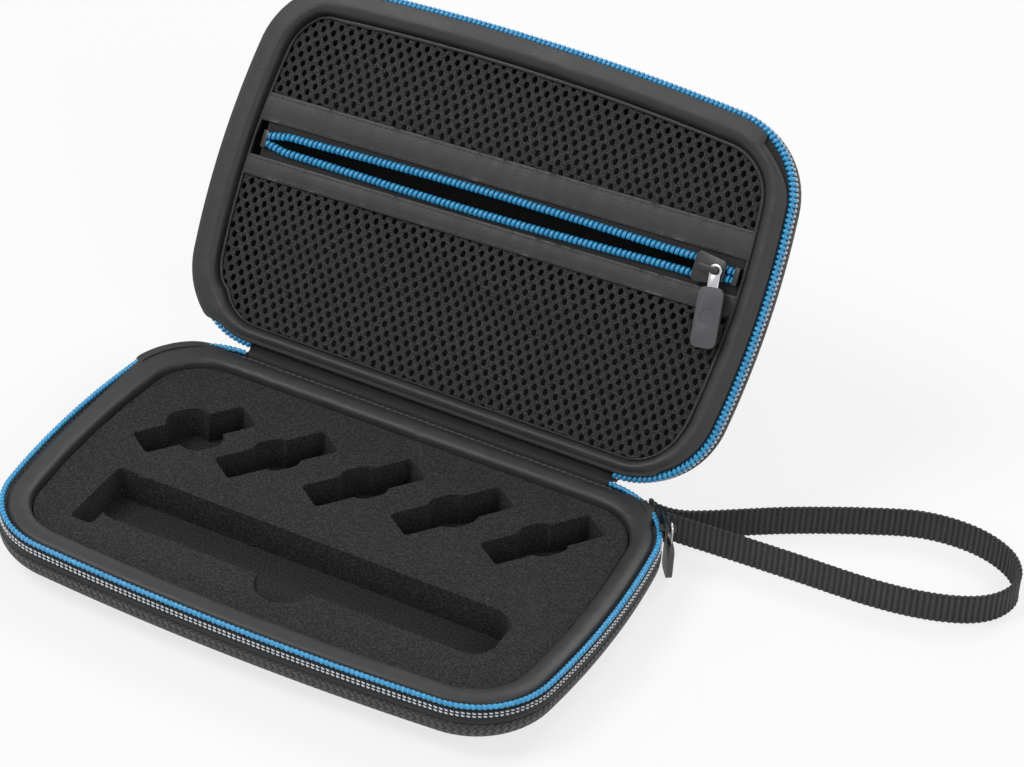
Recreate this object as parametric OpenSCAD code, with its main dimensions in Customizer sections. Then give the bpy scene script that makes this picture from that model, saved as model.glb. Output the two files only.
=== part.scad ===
// A zipped hard case for an electric shaver, lying open: a moulded base half with a cut foam insert,
// and a lid half with a zipped mesh pocket, joined at the back by a fabric gusset.
// X runs along the case, -Y is the front, +Z is up, and the origin is the centre of the base's underside.

/* [Case outline] */
// Length of the case, between the middles of the zip coils at its two ends
case_len = 220; // [200:1:270]
// Depth of the case, from the middle of the front coil to the back fold
case_dep = 140; // [130:1:172]
// Radius of the four corners
corner_r = 31; // [28:0.5:38]
// How far the front side bows out between its corners
front_bow = 3; // [1:0.25:5]
// How far each short side bows out between its corners
side_bow = 2.2; // [1:0.1:4]

/* [Shell] */
// Height of each half, from its outer face to the middle of its coil
half_h = 21.2; // [17.6:0.2:25]
// Thickness of the moulded shell
wall = 2; // [1.6:0.1:2.4]
// Thickness of the bonded lining
lining_t = 0.6; // [0.4:0.05:0.8]
// Height of the upright band that the zip is sewn to
band_h = 7; // [6.6:0.1:8.4]
// Reach of the rounded lower edge, measured inwards
edge_reach = 26; // [21.6:0.2:29]

/* [Padded rims] */
// Width of the padded rim
rim_w = 8.5; // [7.5:0.25:10.5]
// Height of the base rim's crest over the middle of the coil
base_crest = 0.6; // [0.2:0.05:0.7]
// Height of the lid rim's crest over the middle of the coil
lid_crest = 2.9; // [2.4:0.05:2.95]
// Share of its width that the lid rim loses beside the back fold
rim_squeeze = 0.5; // [0.3:0.05:0.6]

/* [Foam] */
// Depth of the foam's face below the middle of the coil
foam_drop = 2.8; // [2.4:0.1:3.4]
// Gap between the foam and the rim
foam_gap = 0.4; // [0.3:0.1:1]
// Thickness of the foam pad under the insert
pad_t = 2.8; // [2.2:0.1:3.4]
// Length of the shaver's pocket
shaver_len = 157; // [135:1:162]
// Width of the shaver's pocket
shaver_w = 26.5; // [22:0.5:32]
// Length of a comb's pocket
comb_len = 43.5; // [37:0.5:46]
// Width of a comb's pocket
comb_w = 13; // [11:0.5:15.5]
// Number of comb pockets in the row
comb_count = 4; // [2:1:4]

/* [Zips] */
// Length of one turn of the zip coils
coil_pitch = 1.9; // [1.6:0.05:3]
// Width of a coil, across the tape
coil_w = 3; // [2.4:0.1:3.2]
// Thickness of the zip tapes
tape_t = 0.8; // [0.6:0.05:0.9]
// Gap between the two pocket coils where the zip is open
pocket_gap = 3; // [2.4:0.1:3.6]
// Length of the zip sliders
slider_len = 12; // [10:0.5:14]
// Length of the pocket zip's rubber pull
pocket_tab_len = 22; // [16:0.5:26]
// Length of the main zip's rubber pull
main_tab_len = 14; // [10:0.5:15]
// Width of the rubber pulls
tab_w = 9.5; // [8:0.25:11]

/* [Mesh pocket] */
// Distance between the openings of the net
net_pitch = 9; // [9:0.5:14]
// Diameter of the openings of the net
net_hole = 4.6; // [3:0.2:6]
// Thickness of the net
net_t = 1.2; // [1:0.1:1.4]
// Width of the upper facing strip beside the pocket zip
strip_up_w = 11; // [8:0.5:13]
// Width of the lower facing strip beside the pocket zip
strip_low_w = 8; // [6:0.5:10]

/* [Opening] */
// Angle between the closed lid and the lid at rest
open_angle = 125.5; // [110:0.5:126]

/* [Wrist strap] */
// Width of the strap's webbing
strap_w = 12; // [9:0.5:12.5]
// Thickness of the strap's webbing
strap_t = 1.8; // [1.2:0.1:2]

/* [Hidden] */

// Height of the base coil's middle over the floor, and of the closed lid's coil over the base coil
coil_z = half_h;
coil_gap = 4;
// The fold that the lid turns about lies just behind the back wall, midway between the two coils
fold_y = case_dep / 2 + 1.3;
fold_z = coil_z + coil_gap / 2;

// Radii of the bowed front and short sides, from their chords and bows
function bow_radius(half_chord, bow) = (half_chord * half_chord + bow * bow) / (2 * bow);
front_r = bow_radius(case_len / 2 - corner_r, front_bow);
side_r = bow_radius(case_dep / 2 - corner_r, side_bow);
front_cy = front_r - case_dep / 2;
side_cx = case_len / 2 - side_r;
// Corner circles touch both sides from within, so each centre is where two smaller circles meet
back_y = case_dep / 2 - corner_r;
back_x = sqrt((side_r - corner_r) * (side_r - corner_r) - back_y * back_y) + side_cx;
function circles_meet(p, rp, q, rq) =
    let(v = q - p, d = norm(v), u = v / d, a = (d * d + rp * rp - rq * rq) / (2 * d))
    p + a * u + sqrt(rp * rp - a * a) * [u.y, -u.x];
front_c = circles_meet([side_cx, 0], side_r - corner_r, [0, front_cy], front_r - corner_r);
front_a = asin(front_c.x / (front_r - corner_r));
side_front_a = asin(-front_c.y / (side_r - corner_r));
side_back_a = asin(back_y / (side_r - corner_r));

// The outline's eight sides, anticlockwise from the front: centre, radius, start angle and end angle.
// Side 4 is the straight back, which the fold needs.
sides = [[[0, front_cy], front_r, -90 - front_a, -90 + front_a],
    [front_c, corner_r, -90 + front_a, -side_front_a],
    [[side_cx, 0], side_r, -side_front_a, side_back_a],
    [[back_x, back_y], corner_r, side_back_a, 90],
    [],
    [[-back_x, back_y], corner_r, 90, 180 - side_back_a],
    [[-side_cx, 0], side_r, 180 - side_back_a, 180 + side_front_a],
    [[-front_c.x, front_c.y], corner_r, 180 + side_front_a, 270 - front_a]];
track = [5, 6, 7, 0, 1, 2, 3];
steps = [8, 7, 4, 7, 6, 7, 4, 7];

// A station is a place on the outline: x, y, the direction of the outward normal, and how near the fold it is
function nearness(i, t) = i == 4 ? 1 : i == 3 ? t * t * (3 - 2 * t)
    : i == 5 ? (1 - t) * (1 - t) * (1 + 2 * t) : 0;
function station(i, t) = i == 4 ? [back_x * (1 - 2 * t), case_dep / 2, 90, 1]
    : let(s = sides[i], a = s[2] + (s[3] - s[2]) * t)
      [s[0].x + s[1] * cos(a), s[0].y + s[1] * sin(a), a, nearness(i, t)];
function side_len(i) = i == 4 ? 2 * back_x : sides[i][1] * (sides[i][3] - sides[i][2]) * PI / 180;
round_case = [for (i = [0:7], k = [0:steps[i] - 1]) station(i, k / steps[i])];
along_zip = concat([for (i = track, k = [0:steps[i] - 1]) station(i, k / steps[i])], [station(3, 1)]);
function inset(s, d) = [s.x - d * cos(s[2]), s.y - d * sin(s[2])];
function outline(d) = [for (s = round_case) inset(s, d)];

// Profile points are [inset from the coil's line, height over it]; beside the fold a rim is squeezed
function place(s, q, squeeze) =
    let(d = q.x > wall ? wall + (q.x - wall) * (1 - squeeze * s[3]) : q.x) [each inset(s, d), q.y];
function strip_faces(m, a, b, j, k) = [[a * m + j, b * m + k, a * m + k], [a * m + j, b * m + j, b * m + k]];
// A closed profile swept along the outline, right round or as an open run
module swept(stations, profile, ring = true, squeeze = 0) {
    n = len(stations);
    m = len(profile);
    polyhedron(points = [for (s = stations, q = profile) place(s, q, squeeze)],
        faces = concat([for (a = [0:ring ? n - 1 : n - 2], j = [0:m - 1])
            each strip_faces(m, a, (a + 1) % n, j, (j + 1) % m)],
            ring ? [] : [[for (j = [0:m - 1]) j], [for (j = [m - 1:-1:0]) (n - 1) * m + j]]), convexity = 8);
}
// A dish: an open profile from the middle's upper face, over the edge, to the middle's lower face
module dish(stations, profile) {
    n = len(stations);
    m = len(profile);
    polyhedron(points = [for (s = stations, q = profile) place(s, q, 0)],
        faces = concat([for (a = [0:n - 1], j = [0:m - 2]) each strip_faces(m, a, (a + 1) % n, j, j + 1)],
            [[for (a = [n - 1:-1:0]) a * m], [for (a = [0:n - 1]) a * m + m - 1]]), convexity = 8);
}
// The shell's curved lower edge at inset t from its outer face, from the wall to the flat
out = 1.4;
edge_drop = half_h - band_h - 1.5;
function edge(t, a) = [t - out + (edge_reach - t) * (1 - cos(a)), -band_h - 1.5 - (edge_drop - t) * sin(a)];
edge_steps = [0:15:90];
shell_profile = concat([for (a = [90:-15:0]) edge(wall, a)],
    [[wall, -band_h + 0.1], [wall, -1.6], [-0.1, -1.6], [-0.1, -band_h + 0.1], [-out, -band_h + 0.1]],
    [for (a = edge_steps) edge(0, a)]);
lining_profile = concat([for (a = [90:-15:0]) edge(wall + lining_t, a)],
    [[wall + lining_t, -band_h + 0.1], [wall, -band_h + 0.1]], [for (a = edge_steps) edge(wall, a)]);

// A rim's crown as shares of its width and height, from its inner foot over the crest to the wall;
// the lid's rim also laps over its own coil
rim_in = wall + rim_w;
rim_base = 6;
base_foot = -2.6;
net_top = -1.6;
base_crown = [[1, 0], [0.94, 0.55], [0.79, 0.86], [0.5, 1], [0.28, 0.95], [0.1, 0.78], [0, 0.44]];
lid_crown = [[1, 0], [0.95, 0.45], [0.82, 0.78], [0.55, 1], [0.28, 0.97], [0, 0.85]];
lap = [[0.7, 2.05], [0.6, 1.62], [wall, 1.55]];
function rim_profile(foot, crest, crown) = concat([[wall, -rim_base], [rim_in, -rim_base]],
    [for (p = crown) [wall + p.x * rim_w, foot + (crest - foot) * p.y]]);

// The base's parts sit at the coil's height
module at_coil() {
    translate([0, 0, coil_z]) children();
}

// The lid's parts are drawn like the base's, face up, then turned over on top and swung open
module on_lid() {
    translate([0, fold_y, fold_z]) rotate([-open_angle, 0, 0]) translate([0, -fold_y, -fold_z])
        translate([0, 0, coil_z + coil_gap]) mirror([0, 0, 1]) children();
}

// The upright tape, the coil along its edge and the two rows of thread beside it
tape_out = -0.1 - tape_t;
coil_top = coil_w / 2;
module zip_tape() {
    low = 0.2 - band_h;
    swept(along_zip, [[tape_out, low], [-0.1, low], [-0.1, -coil_top], [tape_out, -coil_top]], ring = false);
}
// A band along the zip whose outer edge steps in and out once every turn of the coil
function turns(i) = max(2, round(side_len(i) / coil_pitch));
module toothed_band(inner, root, tip, low, high) {
    edge_out = concat([for (i = track, k = [0:turns(i) - 1]) each
        [inset(station(i, k / turns(i)), root), inset(station(i, (k + 0.5) / turns(i)), tip)]],
        [inset(station(3, 1), root)]);
    edge_in = [for (k = [len(along_zip) - 1:-1:0]) inset(along_zip[k], inner)];
    translate([0, 0, low]) linear_extrude(high - low) polygon(concat(edge_out, edge_in));
}
module zip_coil() {
    toothed_band(coil_w / 2, 0.45 - coil_w / 2, -coil_w / 2, -coil_top, coil_top);
}
thread_rows = [-2.65, -3.95];
module zip_stitches() {
    for (z = thread_rows) toothed_band(tape_out, tape_out - 0.05, tape_out - 0.3, z, z + 0.5);
}

// Base half
module base_shell() {
    color("#2b2b2d") at_coil() dish(round_case, shell_profile);
}
module base_lining() {
    color("#232324") at_coil() dish(round_case, lining_profile);
}
module base_rim() {
    color("#3b3b3e") at_coil() swept(round_case, rim_profile(base_foot, base_crest, base_crown));
}
module base_tape() {
    color("#1c1c1e") at_coil() zip_tape();
}
module base_coil() {
    color("#1b8fd6") at_coil() zip_coil();
}
module base_stitches() {
    color("#e8eaec") at_coil() zip_stitches();
}

// Foam insert, with a pocket for the shaver, a slot across its head, a guard and a row of combs
module rounded_rect(l, w, r) {
    square([l - 2 * r, w], center = true);
    square([l, w - 2 * r], center = true);
    for (x = [-1, 1], y = [-1, 1]) translate([x * (l / 2 - r), y * (w / 2 - r)]) circle(r, $fn = 48);
}
comb_turn = 53.5;
comb_step = [35, 2.2];
first_comb = [-36.3, 25];
guard_at = [-69.3, 22.5];
shaver_at = [3, -24.4];
slot_len = 33;
slot_w = 9;
module shaver_pocket() {
    translate(shaver_at) rounded_rect(shaver_len, shaver_w, 9);
    translate(shaver_at - [shaver_len / 2 + 0.5, 3]) rounded_rect(slot_w, slot_len, 2);
    translate(shaver_at - [0, shaver_w / 2]) circle(10.5, $fn = 64);
}
module comb_pocket(thumb_w, thumb_r) {
    rotate(comb_turn) {
        rounded_rect(comb_len, comb_w, 1.5);
        rounded_rect(2 * thumb_r, thumb_w, thumb_r - 2);
    }
}
foam_top = coil_z - foam_drop;
foam_low = wall + lining_t + pad_t;
foam_in = rim_in + foam_gap;
module foam_insert() {
    color("#333331") translate([0, 0, foam_low]) linear_extrude(foam_top - foam_low) difference() {
        polygon(outline(foam_in));
        shaver_pocket();
        translate(guard_at) comb_pocket(25, 8.5);
        for (i = [0:comb_count - 1]) translate(first_comb + i * comb_step) comb_pocket(18, 8);
    }
}
module foam_pad() {
    color("#2a2a29") translate([0, 0, wall + lining_t]) linear_extrude(pad_t)
        polygon(outline(edge_reach - out + 0.1));
}

// Lid half
module lid_shell() {
    color("#2b2b2d") on_lid() dish(round_case, shell_profile);
}
module lid_lining() {
    color("#232324") on_lid() dish(round_case, lining_profile);
}
module lid_rim() {
    color("#3b3b3e") on_lid() swept(round_case, concat(rim_profile(net_top, lid_crest, lid_crown), lap),
        squeeze = rim_squeeze);
}
module lid_tape() {
    color("#1c1c1e") on_lid() zip_tape();
}
module lid_coil() {
    color("#1b8fd6") on_lid() zip_coil();
}
module lid_stitches() {
    color("#e8eaec") on_lid() zip_stitches();
}
// The pocket's layers, from the net's upper face up
strip_t = 0.8;
welt_w = 1.6;
module lid_welt() {
    color("#4a4a4c") on_lid() swept(round_case, [[rim_in, net_top], [rim_in + welt_w, net_top],
        [rim_in + welt_w, net_top + 0.6], [rim_in + welt_w / 2, net_top + 1.1], [rim_in, net_top + 0.7]],
        squeeze = rim_squeeze);
}

// The pocket's zip crosses the lid at a slight slant; U runs along it and V towards the fold
zip_slant = -2;
zip_mid = [0, -7.9];
module along_pocket_zip() {
    translate([zip_mid.x, zip_mid.y, 0]) rotate(zip_slant) children();
}
module inside_lid(low, high, depth) {
    translate([0, 0, low]) linear_extrude(high - low) intersection() {
        polygon([for (s = round_case) let(p = place(s, [depth, 0], rim_squeeze)) [p.x, p.y]]);
        children();
    }
}
// Distances along and from the pocket zip's axis
stop_l = 2;
pocket_half = case_len / 2 - rim_in - welt_w - stop_l - 0.7;
slider_u = pocket_half - 9;
closed_v = coil_w / 2 + 0.05;
open_v = pocket_gap / 2 + coil_w / 2;
tape_far = 8.5;
strip_from = 6.6;
function closing(share) = open_v - (open_v - closed_v) * min(1, max(0, share));
function coil_v(u) = closing(max((u - slider_u) / 6, (8 - pocket_half - u) / 8));
net_hole_margin = rim_in + welt_w + net_hole / 2 + 0.6;
function depth_in(p) = min([for (s = round_case) (s.x - p.x) * cos(s[2]) + (s.y - p.y) * sin(s[2])]);
function zip_v(p) = (p.y - zip_mid.y) * cos(zip_slant) - (p.x - zip_mid.x) * sin(zip_slant);
module net_holes(v_from, v_to) {
    row_h = net_pitch * sqrt(3) / 2;
    rows = ceil(case_dep / row_h / 2);
    cols = ceil(case_len / net_pitch / 2);
    for (r = [-rows:rows], c = [-cols:cols]) {
        p = [(c + (r % 2) / 2) * net_pitch, r * row_h];
        v = zip_v(p);
        if (depth_in(p) > net_hole_margin && v > v_from && v < v_to)
            translate(p) circle(d = net_hole, $fn = 24);
    }
}
module pocket_net(v_from, v_to) {
    clear = net_hole / 2 + 0.6;
    inside_lid(net_top - net_t, net_top, rim_in) difference() {
        translate(zip_mid) rotate(zip_slant) translate([-case_len, v_from])
            square([2 * case_len, v_to - v_from]);
        net_holes(v_from + clear, v_to - clear);
    }
}
module pocket_net_upper() {
    color("#262627") on_lid() pocket_net(-case_dep, -tape_far - 0.3);
}
module pocket_net_lower() {
    color("#262627") on_lid() pocket_net(tape_far + 0.3, case_dep);
}
module pocket_strip(v_from, w) {
    inside_lid(net_top, net_top + strip_t, rim_in + welt_w) translate(zip_mid) rotate(zip_slant)
        translate([-case_len, v_from]) square([2 * case_len, w]);
}
module pocket_strip_upper() {
    color("#3b3b3e") on_lid() pocket_strip(-strip_from - strip_up_w, strip_up_w);
}
module pocket_strip_lower() {
    color("#3b3b3e") on_lid() pocket_strip(strip_from, strip_low_w);
}
coil_stations = [for (u = [-pocket_half, 8 - pocket_half, slider_u, slider_u + 6, pocket_half]) u];
tape_half = pocket_half + stop_l + 0.2;
module pocket_tape() {
    translate([0, 0, net_top - tape_t]) linear_extrude(tape_t) polygon(concat(
        [for (u = concat([-tape_half], coil_stations, [tape_half])) [u, coil_v(u) - 0.9]],
        [[tape_half, tape_far], [-tape_half, tape_far]]));
}
pocket_coil_h = 2.4;
module pocket_coil() {
    n = round(2 * pocket_half / coil_pitch);
    step = 2 * pocket_half / n;
    translate([0, 0, net_top]) linear_extrude(pocket_coil_h) polygon(concat(
        [for (k = [0:n - 1]) each let(u = k * step - pocket_half)
            [[u, coil_v(u) - coil_w / 2 + 0.4], [u + step / 2, coil_v(u + step / 2) - coil_w / 2]]],
        [for (k = [len(coil_stations) - 1:-1:0]) [coil_stations[k], coil_v(coil_stations[k]) + coil_w / 2]]));
}
module pocket_tape_upper() {
    color("#1c1c1e") on_lid() along_pocket_zip() mirror([0, 1, 0]) pocket_tape();
}
module pocket_tape_lower() {
    color("#1c1c1e") on_lid() along_pocket_zip() pocket_tape();
}
module pocket_coil_upper() {
    color("#1b8fd6") on_lid() along_pocket_zip() mirror([0, 1, 0]) pocket_coil();
}
module pocket_coil_lower() {
    color("#1b8fd6") on_lid() along_pocket_zip() pocket_coil();
}
module pocket_end_stops() {
    color("#161617") on_lid() along_pocket_zip() for (u = [-pocket_half - stop_l - 0.1, pocket_half + 0.1])
        translate([u, -coil_w - 0.3, net_top]) cube([stop_l, 2 * coil_w + 0.6, pocket_coil_h + 0.3]);
}

// A slider plate: wide at the open end, narrower at the closed end, drawn flat along U
slider_w = 2 * open_v + coil_w + 2.2;
plate_t = 1;
module slider_plate() {
    nose = slider_w * 0.8;
    linear_extrude(plate_t) {
        polygon([[-slider_len / 2 + 2, -slider_w / 2], [slider_len / 2 - 2, -nose / 2],
            [slider_len / 2 - 2, nose / 2], [-slider_len / 2 + 2, slider_w / 2]]);
        for (v = [-1, 1]) translate([2 - slider_len / 2, v * (slider_w / 2 - 2)]) circle(2, $fn = 32);
        for (v = [-1, 1]) translate([slider_len / 2 - 2, v * (nose / 2 - 2)]) circle(2, $fn = 32);
        translate([-slider_len / 2, 2 - slider_w / 2]) square([4, slider_w - 4]);
        translate([slider_len / 2 - 4, 2 - nose / 2]) square([4, nose - 4]);
    }
}
// The arch over a slider: a bar on two posts, along U, standing on height 0
post_u = 3;
post_d = 1.6;
arch_h = 2.9;
arch_w = 2.4;
bar_t = 0.9;
post_sink = 0.5;
module slider_arch() {
    for (u = [-post_u, post_u]) translate([u, 0, -post_sink])
        cylinder(h = arch_h + post_sink - 0.2, d = post_d, $fn = 32);
    translate([0, 0, arch_h - bar_t]) linear_extrude(bar_t) rounded_rect(2 * post_u + arch_w, arch_w, 1.1);
}
plate_low = net_top + pocket_coil_h + 0.3;
under_tape = net_top - tape_t - 0.3;
module pocket_slider() {
    color("#141415") on_lid() along_pocket_zip() translate([slider_u, 0, 0]) {
        translate([0, 0, plate_low]) slider_plate();
        translate([0, 0, under_tape - plate_t]) slider_plate();
        translate([1 - slider_len / 2, -1.1, under_tape - 0.1]) cube([3, 2.2, plate_low - under_tape + 0.2]);
        translate([0, 0, plate_low + plate_t]) slider_arch();
    }
}
// A link hanging along +Y from its round eye, flat in XY, and the rubber tab moulded over its end
eye_d = 2.6;
eye_ring = 5;
link_w = 4.2;
link_l = 9;
link_t = 0.8;
grip_l = 3;
module link_plate() {
    linear_extrude(link_t, center = true) difference() {
        union() {
            circle(d = eye_ring, $fn = 48);
            translate([-link_w / 2, 0]) square([link_w, link_l]);
        }
        circle(d = eye_d, $fn = 48);
    }
}
tab_t = 2;
badge_depth = 0.25;
module rubber_tab(l) {
    difference() {
        translate([0, link_l - grip_l + l / 2, 0]) linear_extrude(tab_t, center = true)
            rounded_rect(tab_w, l, 2.6);
        translate([-link_w / 2, link_l - grip_l, -link_t / 2]) cube([link_w, grip_l, link_t]);
        translate([0, link_l + l * 0.35, tab_t / 2 - badge_depth])
            cylinder(h = 1, d = tab_w * 0.64, $fn = 48);
    }
}
link_lift = tab_t / 2 + 0.25;
// The pull hangs straight down in front of the leaning lid, so it slants a little to the zip
pull_slant = -7;
module at_pocket_link() {
    on_lid() along_pocket_zip() translate([slider_u + post_u, 0, plate_low + plate_t + link_lift])
        rotate(pull_slant) children();
}
module pocket_link() {
    color("#b9bcc0") at_pocket_link() link_plate();
}
module pocket_tab() {
    color("#4a4b4e") at_pocket_link() rubber_tab(pocket_tab_len);
}

// The main zip's slider, which follows the back right corner of the base
main_at = 36;
slider_in = 1.9;
slider_out = slider_in + plate_t;
main_low = -3.3;
main_high = coil_gap / 2 + 2.2;
tongue_t = 0.4;
lip_in = 1.45;
lip_h = 1.1;
main_span = slider_len / (corner_r + slider_out) * 180 / PI;
module round_corner(from, span, profile) {
    translate([back_x, back_y, 0]) rotate(from) rotate_extrude(angle = span, $fn = 180)
        polygon([for (q = profile) [corner_r - q.x, q.y]]);
}
module main_slider() {
    color("#141415") at_coil() {
        round_corner(main_at - main_span / 2, main_span, [[-slider_out, main_low], [-lip_in, main_low],
            [-lip_in, main_low + lip_h], [-slider_in, main_low + lip_h], [-slider_in, main_high],
            [-slider_out, main_high]]);
        round_corner(main_at - main_span / 2, main_span / 3, [[-slider_in - 0.5, coil_gap / 2 - tongue_t / 2],
            [0.2, coil_gap / 2 - tongue_t / 2], [0.2, coil_gap / 2 + tongue_t / 2],
            [-slider_in - 0.5, coil_gap / 2 + tongue_t / 2]]);
        at_main_plate() slider_arch();
    }
}
main_arch_z = 0.6;
// On the slider's outer face: X along the zip, Z outwards and +Y downwards
module at_main_plate() {
    translate([back_x, back_y, main_arch_z]) rotate(main_at) translate([corner_r + slider_out, 0, 0])
        rotate([0, 90, 0]) rotate(-90) children();
}
module at_main_link() {
    at_coil() at_main_plate() translate([post_u, 0, link_lift]) children();
}
module main_link() {
    color("#b9bcc0") at_main_link() link_plate();
}
module main_tab() {
    color("#4a4b4e") at_main_link() rubber_tab(main_tab_len);
}
stop_span = 3;
module main_end_stop() {
    color("#161617") at_coil() round_corner(90 - stop_span - 1, stop_span,
        [[-coil_top, coil_top], [0.2, coil_top], [0.2, coil_top + 0.5], [-coil_top, coil_top + 0.5]]);
}

// The fabric gusset behind the fold, from the base's band over a slack fold to the lid's band
function turned(p) = let(y = p.x - fold_y, z = p.y - fold_z)
    [fold_y + y * cos(open_angle) + z * sin(open_angle), fold_z - y * sin(open_angle) + z * cos(open_angle)];
gusset_y = case_dep / 2 + 0.1 + tape_t / 2;
leaf = [band_h - 0.2, coil_top];
gusset_path = [[gusset_y, coil_z - leaf.x], [gusset_y, coil_z - leaf.y], [gusset_y + 0.7, coil_z - 0.9],
    [gusset_y + 1.8, coil_z - 1.4], turned([gusset_y, coil_z + coil_gap + leaf.y]) + [-0.9, -1.3],
    turned([gusset_y, coil_z + coil_gap + leaf.y]), turned([gusset_y, coil_z + coil_gap + leaf.x])];
function unit(v) = v / norm(v);
function beside(path, k, d) =
    let(u = unit(path[min(k + 1, len(path) - 1)] - path[max(k - 1, 0)])) path[k] + d * [u.y, -u.x];
module hinge_gusset() {
    last = len(gusset_path) - 1;
    color("#1a1a1b") translate([back_x - 0.5, 0, 0]) rotate([90, 0, -90]) mirror([1, 0, 0])
        linear_extrude(2 * back_x - 1) polygon(concat(
            [for (k = [0:last]) beside(gusset_path, k, tape_t / 2)],
            [for (k = [last:-1:0]) beside(gusset_path, k, -tape_t / 2)]));
}

// The strap's ends are sewn to a folded tab on the shell, near the main zip's end
anchor_at = 72;
anchor_span = 16;
anchor_low = -14.2;
anchor_out = 2.4;
anchor_a = asin((-anchor_low - band_h - 1.5) / edge_drop);
fold_half = 3;
fold_reach = 7.4;
module strap_anchor() {
    color("#1c1c1d") {
        at_coil() round_corner(anchor_at - anchor_span / 2, anchor_span, concat(
            [[-anchor_out, anchor_low]], [for (t = [4:-1:0]) edge(0, anchor_a * t / 4)],
            [[-out, -band_h], [-anchor_out, -band_h]]));
        translate([back_x, back_y, coil_z + anchor_low]) rotate(anchor_at)
            translate([corner_r + out + 0.5, -fold_half, 0])
            cube([fold_reach - out - 0.5, 2 * fold_half, -anchor_low - band_h]);
    }
}
// A point on the tab's sewn side, and one further out along the strap's first stretch
function anchor_side(r, far = 0) = [back_x + r * cos(anchor_at) + (fold_half + far) * sin(anchor_at),
    back_y + r * sin(anchor_at) - (fold_half + far) * cos(anchor_at)];
// The loop's route by hand: X, Y and the height of the webbing's middle over the floor
strap_route = [[each anchor_side(corner_r + 6.1), 12.5], [each anchor_side(corner_r + 6.2, 4), 12],
    [101, 76.5, 9], [109.5, 84, 7], [134, 102.5, 6.3], [160, 118, 6.3], [179, 126.5, 6.3], [198, 127.5, 6.3],
    [213, 121.5, 6.3], [220.5, 110.5, 6.3], [219, 99, 6.3], [211, 90, 6.3], [196, 83.5, 6.3], [176, 80, 6.3],
    [145, 78.8, 6.3], [118, 77.2, 6.6], [104, 74, 8.6], [each anchor_side(corner_r + 3.4, 4), 12],
    [each anchor_side(corner_r + 3.6), 12.5]];
// A smooth curve through the route, and a flat upright section swept along it, square to the tab at both ends
function curve_at(p, k, t) =
    let(b = p[k], c = p[k + 1], a = k > 0 ? p[k - 1] : 2 * b - c, d = k + 2 < len(p) ? p[k + 2] : 2 * c - b)
    0.5 * (2 * b + (c - a) * t + (2 * a - 5 * b + 4 * c - d) * t * t + (3 * b - a - 3 * c + d) * t * t * t);
strap_parts = 4;
strap_line = concat([for (k = [0:len(strap_route) - 2], t = [0:strap_parts - 1])
    curve_at(strap_route, k, t / strap_parts)], [strap_route[len(strap_route) - 1]]);
module wrist_strap() {
    n = len(strap_line);
    radial = [cos(anchor_at), sin(anchor_at), 0];
    function side(k) = k == 0 ? -radial : k == n - 1 ? radial
        : let(d = strap_line[k + 1] - strap_line[k - 1]) unit([d.y, -d.x, 0]);
    color("#1a1a1b") polyhedron(points = [for (k = [0:n - 1], q = [[1, -1], [1, 1], [-1, 1], [-1, -1]])
            strap_line[k] + q.x * strap_t / 2 * side(k) + [0, 0, q.y * strap_w / 2]],
        faces = concat([for (a = [0:n - 2], j = [0:3]) each strip_faces(4, a, a + 1, (j + 1) % 4, j)],
            [[3, 2, 1, 0], [for (j = [0:3]) (n - 1) * 4 + j]]), convexity = 6);
}

base_shell();
base_lining();
base_rim();
foam_insert();
foam_pad();
base_tape();
base_coil();
base_stitches();
hinge_gusset();
lid_shell();
lid_lining();
lid_rim();
lid_welt();
lid_tape();
lid_coil();
lid_stitches();
pocket_net_upper();
pocket_net_lower();
pocket_strip_upper();
pocket_strip_lower();
pocket_tape_upper();
pocket_tape_lower();
pocket_coil_upper();
pocket_coil_lower();
pocket_end_stops();
pocket_slider();
pocket_link();
pocket_tab();
main_slider();
main_link();
main_tab();
main_end_stop();
strap_anchor();
wrist_strap();
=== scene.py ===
# %% [markdown]
# A zipped hard case for an electric shaver lies open: a moulded base with a cut foam insert, and a lid
# with a mesh pocket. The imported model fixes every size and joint, and this script gives each piece its
# real surface. Sizes below are in millimetres and are turned into metres when a mesh is made.

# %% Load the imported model
import math

import bmesh
import bpy
import numpy as np
from mathutils import Matrix, Vector, noise


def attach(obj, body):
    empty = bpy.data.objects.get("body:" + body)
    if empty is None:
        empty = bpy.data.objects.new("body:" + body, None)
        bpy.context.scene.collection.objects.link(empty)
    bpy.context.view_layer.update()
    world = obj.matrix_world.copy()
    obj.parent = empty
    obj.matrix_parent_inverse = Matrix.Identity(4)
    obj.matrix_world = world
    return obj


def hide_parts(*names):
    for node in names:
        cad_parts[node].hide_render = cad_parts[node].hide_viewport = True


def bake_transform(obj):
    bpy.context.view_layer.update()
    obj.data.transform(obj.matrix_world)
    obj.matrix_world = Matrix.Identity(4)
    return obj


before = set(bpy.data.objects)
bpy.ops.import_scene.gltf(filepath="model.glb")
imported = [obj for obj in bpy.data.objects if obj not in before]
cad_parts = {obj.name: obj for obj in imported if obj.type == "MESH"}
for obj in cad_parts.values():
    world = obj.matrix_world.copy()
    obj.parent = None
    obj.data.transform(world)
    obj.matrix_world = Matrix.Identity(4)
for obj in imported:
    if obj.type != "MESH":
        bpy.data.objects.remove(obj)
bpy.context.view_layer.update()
MM = 0.001

# %% [markdown]
# The camera comes first, because the floor, the lights and every comparison depend on it. Its place was
# found from the outlines of both halves, so it is written as a direction, a distance and a lens.

# %% Camera
VIEW_TURN = 24.9
VIEW_RISE = 36.03
VIEW_ROLL = 4.14
VIEW_DISTANCE = 1400.3
VIEW_TARGET = Vector((18.05, 105.64, 21.2))
PHOTO_WIDTH = 1024
FOCAL_PIXELS = 3758


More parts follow.
